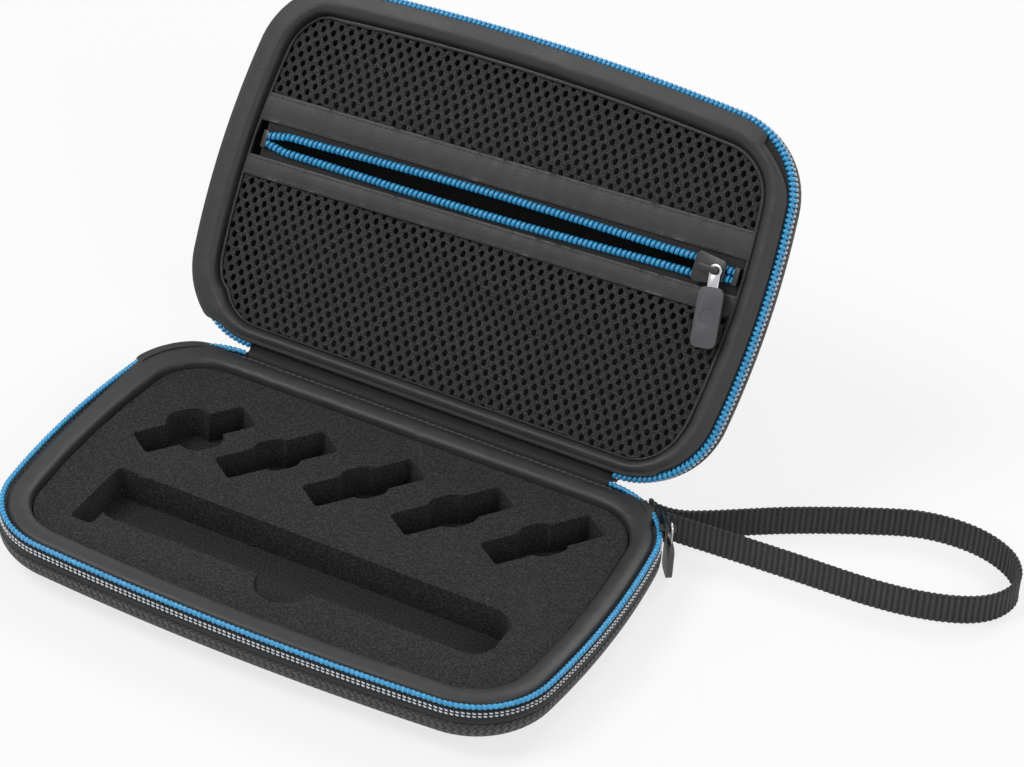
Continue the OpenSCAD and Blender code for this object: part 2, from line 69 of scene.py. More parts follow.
def camera_matrix():
    turn, rise, roll = (math.radians(a) for a in (VIEW_TURN, VIEW_RISE, VIEW_ROLL))
    back = Vector((math.sin(turn) * math.cos(rise), -math.cos(turn) * math.cos(rise), math.sin(rise)))
    right = (-back).cross(Vector((0, 0, 1))).normalized()
    up = right.cross(-back)
    rolled_right = math.cos(roll) * right + math.sin(roll) * up
    rolled_up = -math.sin(roll) * right + math.cos(roll) * up
    place = (VIEW_TARGET + back * VIEW_DISTANCE) * MM
    axes = Matrix((rolled_right, rolled_up, back)).transposed().to_4x4()
    return Matrix.Translation(place) @ axes


lens = bpy.data.cameras.new("photo_camera")
lens.sensor_width = 36
lens.lens = FOCAL_PIXELS * lens.sensor_width / PHOTO_WIDTH
camera = bpy.data.objects.new("photo_camera", lens)
camera.matrix_world = camera_matrix()
bpy.context.scene.collection.objects.link(camera)
bpy.context.scene.camera = camera
print("lens", round(lens.lens, 1), "mm")

# %% [markdown]
# Both halves share one outline: a bowed front, bowed short sides, round corners and a straight back for
# the fold. A station is a place on it: x, y, the outward direction in degrees, and how near the fold it
# is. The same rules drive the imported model, so every sweep made here lands on its node.

# %% Outline of a half
CASE_LEN = 220
CASE_DEP = 140
CORNER_R = 31
FRONT_BOW = 3
SIDE_BOW = 2.2


def bow_radius(half_chord, bow):
    return (half_chord**2 + bow**2) / (2 * bow)


FRONT_R = bow_radius(CASE_LEN / 2 - CORNER_R, FRONT_BOW)
SIDE_R = bow_radius(CASE_DEP / 2 - CORNER_R, SIDE_BOW)
FRONT_CY = FRONT_R - CASE_DEP / 2
SIDE_CX = CASE_LEN / 2 - SIDE_R
BACK_Y = CASE_DEP / 2 - CORNER_R
BACK_X = math.sqrt((SIDE_R - CORNER_R) ** 2 - BACK_Y**2) + SIDE_CX


def circles_meet(p, p_radius, q, q_radius):
    between = Vector(q) - Vector(p)
    gap = between.length
    along = (gap**2 + p_radius**2 - q_radius**2) / (2 * gap)
    aside = math.sqrt(p_radius**2 - along**2)
    unit = between / gap
    return Vector(p) + along * unit + aside * Vector((unit.y, -unit.x))


FRONT_C = circles_meet((SIDE_CX, 0), SIDE_R - CORNER_R, (0, FRONT_CY), FRONT_R - CORNER_R)
FRONT_A = math.degrees(math.asin(FRONT_C.x / (FRONT_R - CORNER_R)))
SIDE_FRONT_A = math.degrees(math.asin(-FRONT_C.y / (SIDE_R - CORNER_R)))
SIDE_BACK_A = math.degrees(math.asin(BACK_Y / (SIDE_R - CORNER_R)))
SIDES = [
    ((0, FRONT_CY), FRONT_R, -90 - FRONT_A, -90 + FRONT_A),
    (tuple(FRONT_C), CORNER_R, -90 + FRONT_A, -SIDE_FRONT_A),
    ((SIDE_CX, 0), SIDE_R, -SIDE_FRONT_A, SIDE_BACK_A),
    ((BACK_X, BACK_Y), CORNER_R, SIDE_BACK_A, 90),
    None,
    ((-BACK_X, BACK_Y), CORNER_R, 90, 180 - SIDE_BACK_A),
    ((-SIDE_CX, 0), SIDE_R, 180 - SIDE_BACK_A, 180 + SIDE_FRONT_A),
    ((-FRONT_C.x, FRONT_C.y), CORNER_R, 180 + SIDE_FRONT_A, 270 - FRONT_A),
]
BACK_SIDE = 4
ZIP_SIDES = [5, 6, 7, 0, 1, 2, 3]


def ease(t):
    return t * t * (3 - 2 * t)


def station(side, t):
    if side == BACK_SIDE:
        return (BACK_X * (1 - 2 * t), CASE_DEP / 2, 90, 1)
    (cx, cy), radius, start, end = SIDES[side]
    angle = start + (end - start) * t
    near = {3: ease(t), 5: 1 - ease(t)}.get(side, 0)
    turned = math.radians(angle)
    return (cx + radius * math.cos(turned), cy + radius * math.sin(turned), angle, near)


def side_length(side):
    if side == BACK_SIDE:
        return 2 * BACK_X
    _, radius, start, end = SIDES[side]
    return radius * math.radians(end - start)


def stations(sides, step):
    run = []
    for side in sides:
        count = max(2, round(side_length(side) / step))
        run += [station(side, k / count) for k in range(count)]
    return run


RING_STEP = 1.6
ring = np.array(stations(range(8), RING_STEP))
zip_run = np.array(stations(ZIP_SIDES, RING_STEP) + [station(3, 1)])


def left_side(angle):
    turn = angle % 360
    return ease(min(1, max(0, (turn - 120) / 30))) * (1 - ease(min(1, max(0, (turn - 230) / 32))))


LEFT_SQUEEZE = 0.6
lid_ring = np.array([(x, y, angle, max(near, LEFT_SQUEEZE * left_side(angle))) for x, y, angle, near in ring])
print("ring of", len(ring), "stations, zip run of", len(zip_run))

# %% [markdown]
# Each half is drawn face up with the middle of its zip coil at height 0. The base only rises to its
# place. The lid turns over on top of the base and swings open about the fold, and that mirrors it, so a
# lid's faces are turned round to keep pointing outwards.

# %% Place a half in the case
HALF_H = 21.2
COIL_GAP = 4
FOLD_Y = CASE_DEP / 2 + 1.3
FOLD_Z = HALF_H + COIL_GAP / 2
OPEN_ANGLE = math.radians(125.5)


def on_base(points):
    return points + np.array([0, 0, HALF_H])


def on_lid(points):
    x, y, z = points.T
    over_y = y - FOLD_Y
    over_z = HALF_H + COIL_GAP - z - FOLD_Z
    return np.stack([
        x,
        FOLD_Y + over_y * math.cos(OPEN_ANGLE) + over_z * math.sin(OPEN_ANGLE),
        FOLD_Z - over_y * math.sin(OPEN_ANGLE) + over_z * math.cos(OPEN_ANGLE),
    ], axis=1)


HALVES = {"base": on_base, "lid": on_lid}

# %% [markdown]
# Every piece is a mesh at the origin with its place in its vertices. One helper makes it, gives it its
# material and its pattern coordinates, puts it on its body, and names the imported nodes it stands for.


def add_piece(name, points, faces, material, half=None, uv=None, smooth=True):
    placed = HALVES[half](np.asarray(points)) if half else np.asarray(points)
    if half == "lid":
        faces = [face[::-1] for face in faces]
    mesh = bpy.data.meshes.new(name)
    mesh.from_pydata((placed * MM).tolist(), [], faces)
    if uv is not None:
        layer = mesh.uv_layers.new(name="pattern")
        corners = np.empty(len(mesh.loops), dtype=int)
        mesh.loops.foreach_get("vertex_index", corners)
        layer.data.foreach_set("uv", np.asarray(uv)[corners].astype(float).ravel())
    mesh.materials.append(material)
    piece = bpy.data.objects.new(name, mesh)
    bpy.context.scene.collection.objects.link(piece)
    for polygon in mesh.polygons:
        polygon.use_smooth = smooth
    return piece


def stand_for(piece, body, *nodes):
    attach(piece, body)
    if nodes:
        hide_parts(*nodes)
    return piece


def sharpen(piece, angle=40):
    piece.data.set_sharp_from_angle(angle=math.radians(angle))
    return piece


# %% [markdown]
# Most of the case is a profile carried round the outline: shells, linings, rims, tapes and welts. The
# sweep keeps the distance along the outline and across the profile as pattern coordinates in
# millimetres, so that weaves and grain run with the piece. Beside the fold the lid's rim is squeezed.

# %% Sweep a profile
WALL = 2


def distances(points):
    steps = np.linalg.norm(np.diff(points, axis=0), axis=1)
    return np.concatenate([[0], np.cumsum(steps)])


def curve_through(points, count):
    p = np.asarray(points, float)
    padded_points = np.vstack([2 * p[0] - p[1], p, 2 * p[-1] - p[-2]])
    made = []
    for k in range(len(p) - 1):
        a, b, c, d = padded_points[k:k + 4]
        for t in np.linspace(0, 1, count, endpoint=False):
            made.append(0.5 * (2 * b + (c - a) * t + (2 * a - 5 * b + 4 * c - d) * t**2
                               + (3 * b - a - 3 * c + d) * t**3))
    made.append(p[-1])
    return np.array(made)


def sweep_points(run, profile, squeeze=0.0):
    angle = np.radians(run[:, 2])[:, None]
    inset = profile[None, :, 0] * np.ones((len(run), 1))
    inward = WALL + (inset - WALL) * (1 - squeeze * run[:, 3][:, None])
    inset = np.where(inset > WALL, inward, inset)
    x = run[:, 0][:, None] - inset * np.cos(angle)
    y = run[:, 1][:, None] - inset * np.sin(angle)
    z = profile[None, :, 1] * np.ones((len(run), 1))
    return np.stack([x, y, z], axis=2)


def grid_faces(rows, cols, ring_rows, ring_cols):
    faces = []
    for a in range(rows if ring_rows else rows - 1):
        for b in range(cols if ring_cols else cols - 1):
            c, d = (a + 1) % rows, (b + 1) % cols
            faces.append((a * cols + b, c * cols + b, c * cols + d, a * cols + d))
    return faces


def pattern_coordinates(run, profile):
    along = distances(run[:, :2])[:, None] * np.ones((1, len(profile)))
    across = distances(profile)[None, :] * np.ones((len(run), 1))
    return np.stack([along, across], axis=2).reshape(-1, 2)


def sweep(name, run, profile, material, half, closed=True, squeeze=0.0, shape=None):
    profile = np.asarray(profile, float)
    grid = sweep_points(run, profile, squeeze)
    if shape is not None:
        grid = shape(grid, run, profile)
    rows, cols = grid.shape[:2]
    faces = grid_faces(rows, cols, closed, True)
    if not closed:
        faces.append(tuple(range(cols))[::-1])
        faces.append(tuple((rows - 1) * cols + b for b in range(cols)))
    return add_piece(name, grid.reshape(-1, 3), faces, material, half, pattern_coordinates(run, profile))


# %% [markdown]
# Shader maths reads best as sums. A signal wraps one output of a node, and its operators add Math nodes,
# so a weave's height is written as an expression. A finish holds a material and adds any other node.

# %% Shader maths as expressions


class Signal:
    """One output of a node, so that sums on it read as ordinary Python."""

    def __init__(self, finish, socket):
        self.finish = finish
        self.socket = socket

    def math(self, operation, *values):
        return self.finish.node("ShaderNodeMath", {"operation": operation}, dict(enumerate(values)))

    def __add__(self, other):
        return self.math("ADD", self, other)

    def __sub__(self, other):
        return self.math("SUBTRACT", self, other)

    def __rsub__(self, other):
        return self.math("SUBTRACT", other, self)

    def __mul__(self, other):
        return self.math("MULTIPLY", self, other)

    def __truediv__(self, other):
        return self.math("DIVIDE", self, other)

    def __abs__(self):
        return self.math("ABSOLUTE", self)

    __radd__ = __add__
    __rmul__ = __mul__

    def sine(self):
        return self.math("SINE", self)

    def floor(self):
        return self.math("FLOOR", self)

    def fold(self, size):
        return self.math("PINGPONG", self, size)

    def output(self, name):
        return Signal(self.finish, self.socket.node.outputs[name])


def shade(red, green, blue):
    """A colour as a picture shows it, 0 to 255, as the shader wants it."""
    shown = (red, green, blue)
    linear = [(c / 255 / 12.92) if c <= 10 else ((c / 255 + 0.055) / 1.055) ** 2.4 for c in shown]
    return (*linear, 1)


class Finish:
    """A material whose nodes are added one at a time."""

    def __init__(self, name, roughness, **fixed):
        self.material = bpy.data.materials.new(name)
        self.material.use_nodes = True
        self.tree = self.material.node_tree
        self.shader = self.tree.nodes["Principled BSDF"]
        self.feed(self.shader.inputs["Roughness"], roughness)
        for socket, value in fixed.items():
            self.feed(self.shader.inputs[socket.replace("_", " ")], value)

    def feed(self, socket, value):
        if isinstance(value, Signal):
            self.tree.links.new(value.socket, socket)
        else:
            socket.default_value = value

    def node(self, kind, settings=None, sockets=None, output=0):
        made = self.tree.nodes.new(kind)
        for name, value in (settings or {}).items():
            setattr(made, name, value)
        for key, value in (sockets or {}).items():
            self.feed(made.inputs[key], value)
        return Signal(self, made.outputs[output])

    def pattern(self):
        """The piece's own coordinates in millimetres, along it and across it."""
        coordinates = self.node("ShaderNodeUVMap", {"uv_map": "pattern"})
        parts = self.node("ShaderNodeSeparateXYZ", None, {0: coordinates})
        return parts.output("X"), parts.output("Y")

    def place(self):
        return self.node("ShaderNodeTexCoord", output="Object")

    def speckle(self, size_mm, detail=2.0):
        sockets = {"Vector": self.place(), "Scale": 1 / (size_mm * MM), "Detail": detail}
        return self.node("ShaderNodeTexNoise", None, sockets)

    def cells(self, size_mm):
        sockets = {"Vector": self.place(), "Scale": 1 / (size_mm * MM)}
        return self.node("ShaderNodeTexVoronoi", None, sockets)

    def colour(self, factor, low, high):
        mixed = self.node("ShaderNodeMix", {"data_type": "RGBA"}, {0: factor, 6: low, 7: high}, output=2)
        self.feed(self.shader.inputs["Base Color"], mixed)

    def relief(self, height, depth_mm):
        bump = self.node("ShaderNodeBump", None, {"Height": height, "Distance": depth_mm * MM})
        self.feed(self.shader.inputs["Normal"], bump)


def ridges(signal, pitch):
    return abs((signal * (math.pi / pitch)).sine())


# %% [markdown]
# The shell is wrapped in a coarse ballistic cloth: fat yarns pass over and under each other, and its diagonal
# lie shows as small diamonds. Two yarn directions take turns by a chequer pattern. The cloth's colour follows
# the yarn height, so painted shade lies between the yarns and a painted highlight lies on their crowns.

# %% Ballistic cloth of the shells


def ballistic_cloth():
    finish = Finish("ballistic_cloth", 0.78, Sheen_Weight=0.2)
    u, v = finish.pattern()
    yarn = 1.9
    a = (u + v) * (0.7071 / yarn)
    b = (u - v) * (0.7071 / yarn)
    over = (a.floor() + b.floor()).fold(1)
    height = over * ridges(a, 1) + (1 - over) * ridges(b, 1)
    fuzz = finish.speckle(0.35)
    # Colour from the yarn height: painted shade between the yarns and a painted highlight on their crowns,
    # plus random fuzz.
    finish.colour(height * height * 0.85 + fuzz * 0.25, shade(11, 11, 12), shade(64, 64, 66))
    finish.relief(height + fuzz * 0.2, 0.5)
    return finish.material


def lining_cloth():
    finish = Finish("lining_cloth", 0.9, Sheen_Weight=0.15)
    grain = finish.speckle(0.6, 3)
    finish.colour(grain, shade(14, 14, 15), shade(34, 34, 35))
    finish.relief(grain, 0.1)
    return finish.material


shell_cloth = ballistic_cloth()
lining = lining_cloth()

# %% [markdown]
# The rims, the welts and the strips beside the pocket zip are polyurethane leather: smooth, slightly
# grained and softly shiny. Small cells make the grain and a slow cloudiness changes the gloss.

# %% Leather of the rims and strips


def soft_leather(name, low, high, roughness):
    finish = Finish(name, roughness)
    grain = finish.cells(0.75)
    cloud = finish.speckle(14, 3)
    finish.colour(cloud, low, high)
    finish.feed(finish.shader.inputs["Roughness"], cloud * 0.16 + (roughness - 0.08))
    finish.relief(grain + finish.speckle(0.4) * 0.5, 0.05)
    return finish.material


rim_leather = soft_leather("rim_leather", shade(30, 30, 31), shade(43, 43, 44), 0.52)
strip_leather = soft_leather("strip_leather", shade(29, 29, 30), shade(42, 42, 43), 0.52)
welt_leather = soft_leather("welt_leather", shade(30, 30, 31), shade(48, 48, 49), 0.45)

# %% [markdown]
# The insert is cut from closed-cell foam: matte, dark, with fine open pores on the cut faces. Two sizes
# of grain do it, one for the pores and one for the mottled tone.

# %% Foam


def cut_foam():
    finish = Finish("cut_foam", 0.96)
    pores = finish.cells(0.7)
    mottle = finish.speckle(0.6, 3)
    open_cell = finish.node("ShaderNodeMapRange", None, {0: mottle, 1: 0.45, 2: 0.62})
    finish.colour(open_cell * 0.8 + pores * 0.1, shade(3, 3, 3), shade(60, 60, 58))
    finish.relief(pores * 0.6 + mottle, 0.55)
    return finish.material


foam = cut_foam()

# %% [markdown]
# Zip tapes are woven in a fine herringbone, and their colour follows the twill, with painted shade in the
# grooves between the ridges. The coil is one springy nylon filament, dyed a clear sky blue, so it is glossy
# and lets a little light into its surface; its colour wanders at random between a deep and a pale blue, and
# the pale end is brightened as a painted highlight. White thread sews it to the tape.

# %% Zip finishes


def herringbone_tape():
    finish = Finish("herringbone_tape", 0.8, Sheen_Weight=0.1)
    u, v = finish.pattern()
    twill = ridges(u + v.fold(0.9), 0.62)
    # Colour from the twill ridges: painted shade in the grooves between them, lighter on the ridges.
    finish.colour(twill, shade(9, 9, 10), shade(33, 33, 35))
    finish.relief(twill + finish.speckle(0.3) * 0.3, 0.12)
    return finish.material


def nylon_filament():
    finish = Finish("nylon_filament", 0.26, Coat_Weight=0.5, Coat_Roughness=0.12)
    tone = finish.speckle(2.2)
    # Random tone at 2.2 mm. It is partly the dye's own variation and partly painted highlight, because the
    # pale blue end is brightened to stand in for gloss.
    finish.colour(tone, shade(0, 116, 176), shade(64, 186, 238))
    finish.relief(finish.speckle(0.35), 0.03)
    return finish.material


def sewing_thread(name, low, high):
    finish = Finish(name, 0.7, Sheen_Weight=0.2)
    twist = finish.speckle(0.25)
    finish.colour(twist, low, high)
    finish.relief(twist, 0.05)
    return finish.material


tape_weave = herringbone_tape()
blue_nylon = nylon_filament()
white_thread = sewing_thread("white_thread", shade(190, 198, 204), shade(240, 244, 247))
grey_thread = sewing_thread("grey_thread", shade(34, 34, 35), shade(70, 70, 72))

# %% [markdown]
# The rest are small: knitted yarn of the mesh, ribbed webbing, black enamel, bright nickel plate and a matte
# moulded rubber. Each still has its own grain at its own scale; the webbing's colour also follows its ribs,
# with painted shade in the grooves and a painted highlight on the crowns.

# %% Mesh yarn, webbing, metals and rubber


def mesh_yarn():
    finish = Finish("mesh_yarn", 0.85, Sheen_Weight=0.15)
    knit = finish.speckle(0.5, 3)
    strand = finish.node("ShaderNodeMapRange", None, {0: knit, 1: 0.4, 2: 0.66})
    finish.colour(strand, shade(4, 4, 5), shade(72, 72, 74))
    finish.relief(strand, 0.35)
    return finish.material


RIB_PITCH = 2.18


def ribbed_webbing():
    finish = Finish("ribbed_webbing", 0.8, Sheen_Weight=0.1)
    u, v = finish.pattern()
    rib = ridges(u, RIB_PITCH)
    yarn = ridges(v + u.fold(RIB_PITCH / 2), 0.9)
    # Colour from the ribs: painted shade in the grooves between them and a painted highlight on their crowns,
    # over a faint yarn pattern.
    finish.colour(rib * rib * rib * 0.9 + yarn * 0.1, shade(2, 2, 3), shade(66, 66, 69))
    finish.relief(rib * 0.5 + yarn, 0.3)
    return finish.material


def plain_finish(name, roughness, low, high, grain_mm, depth_mm, **fixed):
    finish = Finish(name, roughness, **fixed)
    grain = finish.speckle(grain_mm, 3)
    finish.colour(grain, low, high)
    finish.feed(finish.shader.inputs["Roughness"], grain * 0.12 + (roughness - 0.06))
    finish.relief(grain, depth_mm)
    return finish.material


net_yarn = mesh_yarn()
webbing = ribbed_webbing()
enamel = plain_finish("black_enamel", 0.32, shade(10, 10, 11), shade(24, 24, 26), 1.5, 0.01, Coat_Weight=0.3)
nickel = plain_finish("nickel_plate", 0.25, shade(176, 178, 182), shade(214, 215, 218), 2.5, 0.01,
                      Metallic=1.0)
rubber = plain_finish("pull_rubber", 0.5, shade(64, 65, 68), shade(80, 81, 84), 0.5, 0.04)
print("materials", len(bpy.data.materials))

# %% [markdown]
# A shell is a dish moulded in one: the flat underside curves up through a generous edge to a shoulder,
# then a thinner upright band carries the zip tape. The pattern runs round the side, and the flat keeps
# straight x and y, so the cloth looks stretched over the form rather than wound on it.

# %% Shells and linings
LINING_T = 0.6
BAND_H = 7
EDGE_REACH = 26
SHELL_OUT = {"base": 1.4, "lid": 0.6}
EDGE_DROP = HALF_H - BAND_H - 1.5
EDGE_STEPS = np.linspace(0, math.pi / 2, 19)
SHELL_TOP = -1.6


def lower_edge(inside, out, angles):
    inset = inside - out + (EDGE_REACH - inside) * (1 - np.cos(angles))
    height = -BAND_H - 1.5 - (EDGE_DROP - inside) * np.sin(angles)
    return np.stack([inset, height], axis=1)


def shoulder(inset, height, radius, start, end, count=5):
    turn = np.radians(np.linspace(start, end, count))
    return np.stack([inset + radius * np.cos(turn), height + radius * np.sin(turn)], axis=1)


def shell_profile(out):
    return np.vstack([
        lower_edge(WALL, out, EDGE_STEPS[::-1]),
        [[WALL, -BAND_H + 0.1], [WALL, SHELL_TOP - 0.3], [WALL - 0.3, SHELL_TOP], [0.2, SHELL_TOP]],
        [[-0.1, SHELL_TOP - 0.3], [-0.1, -BAND_H + 0.1]],
        shoulder(0.7 - out, -BAND_H - 0.6, 0.7, 90, 180),
        lower_edge(0, out, EDGE_STEPS),
    ])


def lining_profile(out):
    return np.vstack([
        lower_edge(WALL + LINING_T, out, EDGE_STEPS[::-1]),
        [[WALL + LINING_T, -BAND_H + 0.1], [WALL, -BAND_H + 0.1]],
        lower_edge(WALL, out, EDGE_STEPS),
    ])


def dish(name, profile, material, half):
    grid = sweep_points(ring, profile)
    rows, cols = grid.shape[:2]
    faces = grid_faces(rows, cols, True, False)
    faces.append(tuple(a * cols for a in range(rows))[::-1])
    faces.append(tuple(a * cols + cols - 1 for a in range(rows)))
    piece = add_piece(name, grid.reshape(-1, 3), faces, material, half, pattern_coordinates(ring, profile))
    lay_cloth(piece, grid.reshape(-1, 3))
    return piece


def lay_cloth(piece, drawn):
    """Faces that lie flat take straight coordinates, and a ring's closing faces take the full turn."""
    layer = piece.data.uv_layers["pattern"].data
    full_turn = np.linalg.norm(ring[0, :2] - ring[-1, :2]) + distances(ring[:, :2])[-1]
    for polygon in piece.data.polygons:
        corners = [drawn[v] for v in polygon.vertices]
        a, b, c = (Vector(corners[k]) for k in (0, len(corners) // 3, 2 * len(corners) // 3))
        normal = (b - a).cross(c - a)
        flat = abs(normal.z) > 0.8 * normal.length
        along = [layer[k].uv.x for k in polygon.loop_indices]
        for k, corner in zip(polygon.loop_indices, corners):
            if flat:
                layer[k].uv = corner[:2]
            elif max(along) - layer[k].uv.x > full_turn / 2:
                layer[k].uv.x += full_turn


for half in HALVES:
    shell = dish(half + "_shell_skin", shell_profile(SHELL_OUT[half]), shell_cloth, half)
    stand_for(sharpen(shell, 50), half, half + "_shell")
    liner = dish(half + "_lining_skin", lining_profile(SHELL_OUT[half]), lining, half)
    stand_for(sharpen(liner, 50), half, half + "_lining")
    print(half, "shell faces", len(shell.data.polygons))

# %% [markdown]
# A padded rim is a leather tube over soft foam, glued inside the shell. It is crowned, its seams pull
# small puckers where it turns a corner, and its two ends meet in a butt seam at the middle of the fold.
# A glued tube keeps its form, so the puckers are moved in directly and need no cloth simulation.

# %% Padded rims
RIM_W = 8.5
RIM_IN = WALL + RIM_W
RIM_BASE = -6
NET_TOP = -1.6
RIM_SQUEEZE = 0.5
CROWNS = {
    "base": (-2.6, 0.6, [[1, 0], [0.94, 0.55], [0.79, 0.86], [0.5, 1], [0.28, 0.95], [0.1, 0.78], [0, 0.44]]),
    "lid": (NET_TOP, 2.9, [[1, 0], [0.95, 0.45], [0.82, 0.78], [0.55, 1], [0.28, 0.97], [0, 0.85]]),
}
LID_LAP = [[0.7, 2.05], [0.6, 1.62], [WALL, 1.55]]
COIL_TOP = 1.5
LAP_OUT = {"base": 2.8, "lid": 2.4}
LAP_TOP = {"base": 1.35, "lid": 2.2}
LAP_RANGES = {
    "base": ((36, 52), (168, 180)),
    "lid": ((116, 128), (244, 262)),
}
LAP_RISE_BY = 0.8
LAP_CURL = 0.62
LAP_FALL_FROM = 0.55
LAP_FALL = 0.2
LAP_UNDER = 0.15
LAP_CLEAR = 0.12
LID_EDGE_IN = 3
EDGE_POWER = 1.5
BARE_FROM = -60
BARE_TO = 60
BARE_FADE_FROM = -50
BARE_FADE = 40
BARE_FALL = 0.7
SEAM_X = {"base": 3, "lid": 1}
SEAM_HALF = 0.9
SEAM_DEEP = 0.55
PUCKER_DEEP = 0.25
SLOW_PUCKER = 0.16
QUICK_PUCKER = 0.5
PUCKER_EDGE = 0.15


def lapping(half, angle, near):
    """How far the slumped rim lies over the coil, from 0 to 1, at a station."""
    (low_from, low_to), (high_from, high_to) = LAP_RANGES[half]
    turn = angle % 360
    rise = ease(min(1, max(0, (turn - low_from) / (low_to - low_from))))
    fall = 1 - ease(min(1, max(0, (turn - high_from) / (high_to - high_from))))
    return rise * fall * (1 - near**6 if half == "base" else 1)


def right_side(angle):
    """How far the lid rim's outer edge stands in on the right, most of all just past the front corner."""
    turn = (angle - BARE_FROM) % 360 + BARE_FROM
    if turn >= BARE_TO:
        return 0
    return 1 - BARE_FALL * ease(min(1, max(0, (turn - BARE_FADE_FROM) / BARE_FADE)))


def rim_profile(half):
    foot, crest, crown = CROWNS[half]
    points = [[WALL + x * RIM_W, foot + (crest - foot) * h] for x, h in crown]
    points = curve_through(points, 5)
    if half == "lid":
        points = np.vstack([points, curve_through([points[-1], LID_LAP[0], LID_LAP[1]], 3)[1:], LID_LAP[2:]])
    else:
        end = points[-1]
        points = np.vstack([points, [[WALL, end[1] - k * 0.1] for k in (1, 2, 3, 4, 5)]])
    return np.vstack([[[WALL, RIM_BASE], [RIM_IN, RIM_BASE]], points])


def lay_over(section, profile, angle, slump, half):
    """Bulges one section's outer part over the coil, as a full tube does where it is pressed outwards."""
    outward = np.array([math.cos(math.radians(angle)), math.sin(math.radians(angle))])
    middle = WALL + 0.5 * RIM_W
    last = len(profile) - 1
    crest = next(b for b in range(2, len(profile)) if profile[b, 0] <= middle)
    for b in range(crest, last + 1):
        share = (b - crest) / (last - 1 - crest)
        curl = min(1, share)
        reach = LAP_OUT[half] * math.sin(curl * math.pi * LAP_CURL) / math.sin(math.pi * LAP_CURL)
        target = LAP_TOP[half] * math.cos(max(0, curl - LAP_FALL_FROM) / (1 - LAP_FALL_FROM) * LAP_FALL)
        if b == last:
            reach, target = 0, min(LAP_TOP[half] - LAP_UNDER, COIL_TOP + LAP_CLEAR)
        section[b, :2] += outward * reach * slump
        section[b, 2] += max(0, target - section[b, 2]) * slump * ease(min(1, share / LAP_RISE_BY))


def soften_rim(half):
    def shape(grid, run, profile):
        shown = profile[:, 1] > RIM_BASE + 0.5
        middle = WALL + 0.5 * RIM_W
        for a, (x, y, angle, near) in enumerate(run):
            slump = lapping(half, angle, near)
            if half == "lid":
                share = np.clip((middle - profile[:, 0]) / (middle - WALL), 0, 1) ** EDGE_POWER
                turned = math.radians(angle)
                outward = np.array([math.cos(turned), math.sin(turned)])
                grid[a, :, :2] -= (LID_EDGE_IN * right_side(angle) * share * shown)[:, None] * outward
            if slump > 0:
                lay_over(grid[a], profile, angle, slump, half)
            turning = abs(math.sin(math.radians(2 * angle))) if near < 1 else 0
            in_seam = SEAM_HALF > abs(x - SEAM_X[half]) and y > 0
            seam = math.cos((x - SEAM_X[half]) / SEAM_HALF * math.pi / 2) ** 2 if in_seam else 0
            for b in np.nonzero(shown)[0]:
                spot = Vector(grid[a, b])
                quick = noise.noise(spot * QUICK_PUCKER) * (0.25 + 0.5 * turning)
                pucker = noise.noise(spot * SLOW_PUCKER) + quick
                inner = min(1, max(0, (profile[b, 0] - WALL) / RIM_W))
                grid[a, b, 2] += PUCKER_DEEP * pucker * (PUCKER_EDGE + inner) - SEAM_DEEP * seam
        return grid
    return shape


for half in HALVES:
    run, squeeze = (lid_ring, RIM_SQUEEZE) if half == "lid" else (ring, 0)
    tube = sweep(half + "_rim_tube", run, rim_profile(half), rim_leather, half, squeeze=squeeze,
                 shape=soften_rim(half))
    stand_for(sharpen(tube, 60), half, half + "_rim")
    print(half, "rim faces", len(tube.data.polygons))

# %% [markdown]
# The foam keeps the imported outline, because its pockets are cut to the things they hold. A cutting
# blade leaves the upper edges a little rounded, so a copy of the node is merged, its flat triangles are
# joined, and only the sharp edges get a fine bevel.

# %% Foam insert and pad


def refined(node, body, material, edge_mm, segments=3, name=None, angle=35):
    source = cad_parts[node].data
    shape = bmesh.new()
    shape.from_mesh(source)
    bmesh.ops.remove_doubles(shape, verts=shape.verts, dist=1e-6)
    bmesh.ops.dissolve_limit(shape, angle_limit=math.radians(1), verts=shape.verts, edges=shape.edges)
    mesh = bpy.data.meshes.new(name or node + "_finish")
    shape.to_mesh(mesh)
    shape.free()
    mesh.materials.clear()
    mesh.materials.append(material)
    piece = bpy.data.objects.new(mesh.name, mesh)
    bpy.context.scene.collection.objects.link(piece)
    for polygon in mesh.polygons:
        polygon.use_smooth = True
    layer = mesh.uv_layers.get("pattern") or mesh.uv_layers.new(name="pattern")
    for loop in mesh.loops:
        spot = mesh.vertices[loop.vertex_index].co / MM
        layer.data[loop.index].uv = (spot.x, spot.y + spot.z)
    bevel = piece.modifiers.new("edges", "BEVEL")
    bevel.width = edge_mm * MM
    bevel.segments = segments
    bevel.limit_method = "ANGLE"
    bevel.angle_limit = math.radians(angle)
    bevel.harden_normals = True
    return stand_for(piece, body, node)


insert = refined("foam_insert", "base", foam, 0.5)
pad = refined("foam_pad", "base", foam, 0.3)

# %% [markdown]
# The zip tape stands upright between the shell and the coil. It is a thin woven band, and it runs round
# three sides of the case, from one end of the fold to the other. The lid's tape also has a flat part that
# goes in under the rim.

# %% Main zip tapes
TAPE_T = 0.8
TAPE_OUT = -0.1 - TAPE_T
TAPE_PROFILE = [
    [TAPE_OUT + 0.15, -BAND_H + 0.2], [-0.1, -BAND_H + 0.2], [-0.1, -COIL_TOP], [TAPE_OUT + 0.25, -COIL_TOP],
    [TAPE_OUT, -COIL_TOP - 0.3], [TAPE_OUT, -4.4], [TAPE_OUT - 0.12, -4.7], [TAPE_OUT - 0.12, -BAND_H + 0.5],
]
TAPE_LEDGE = [[1.2, 0.35], [6.3, 0.35], [6.3, 0.8], [1.3, 0.8], [1.2, 0.7]]
for half in HALVES:
    tape = sweep(half + "_tape_band", zip_run, TAPE_PROFILE, tape_weave, half, closed=False)
    stand_for(sharpen(tape, 50), half, half + "_tape")

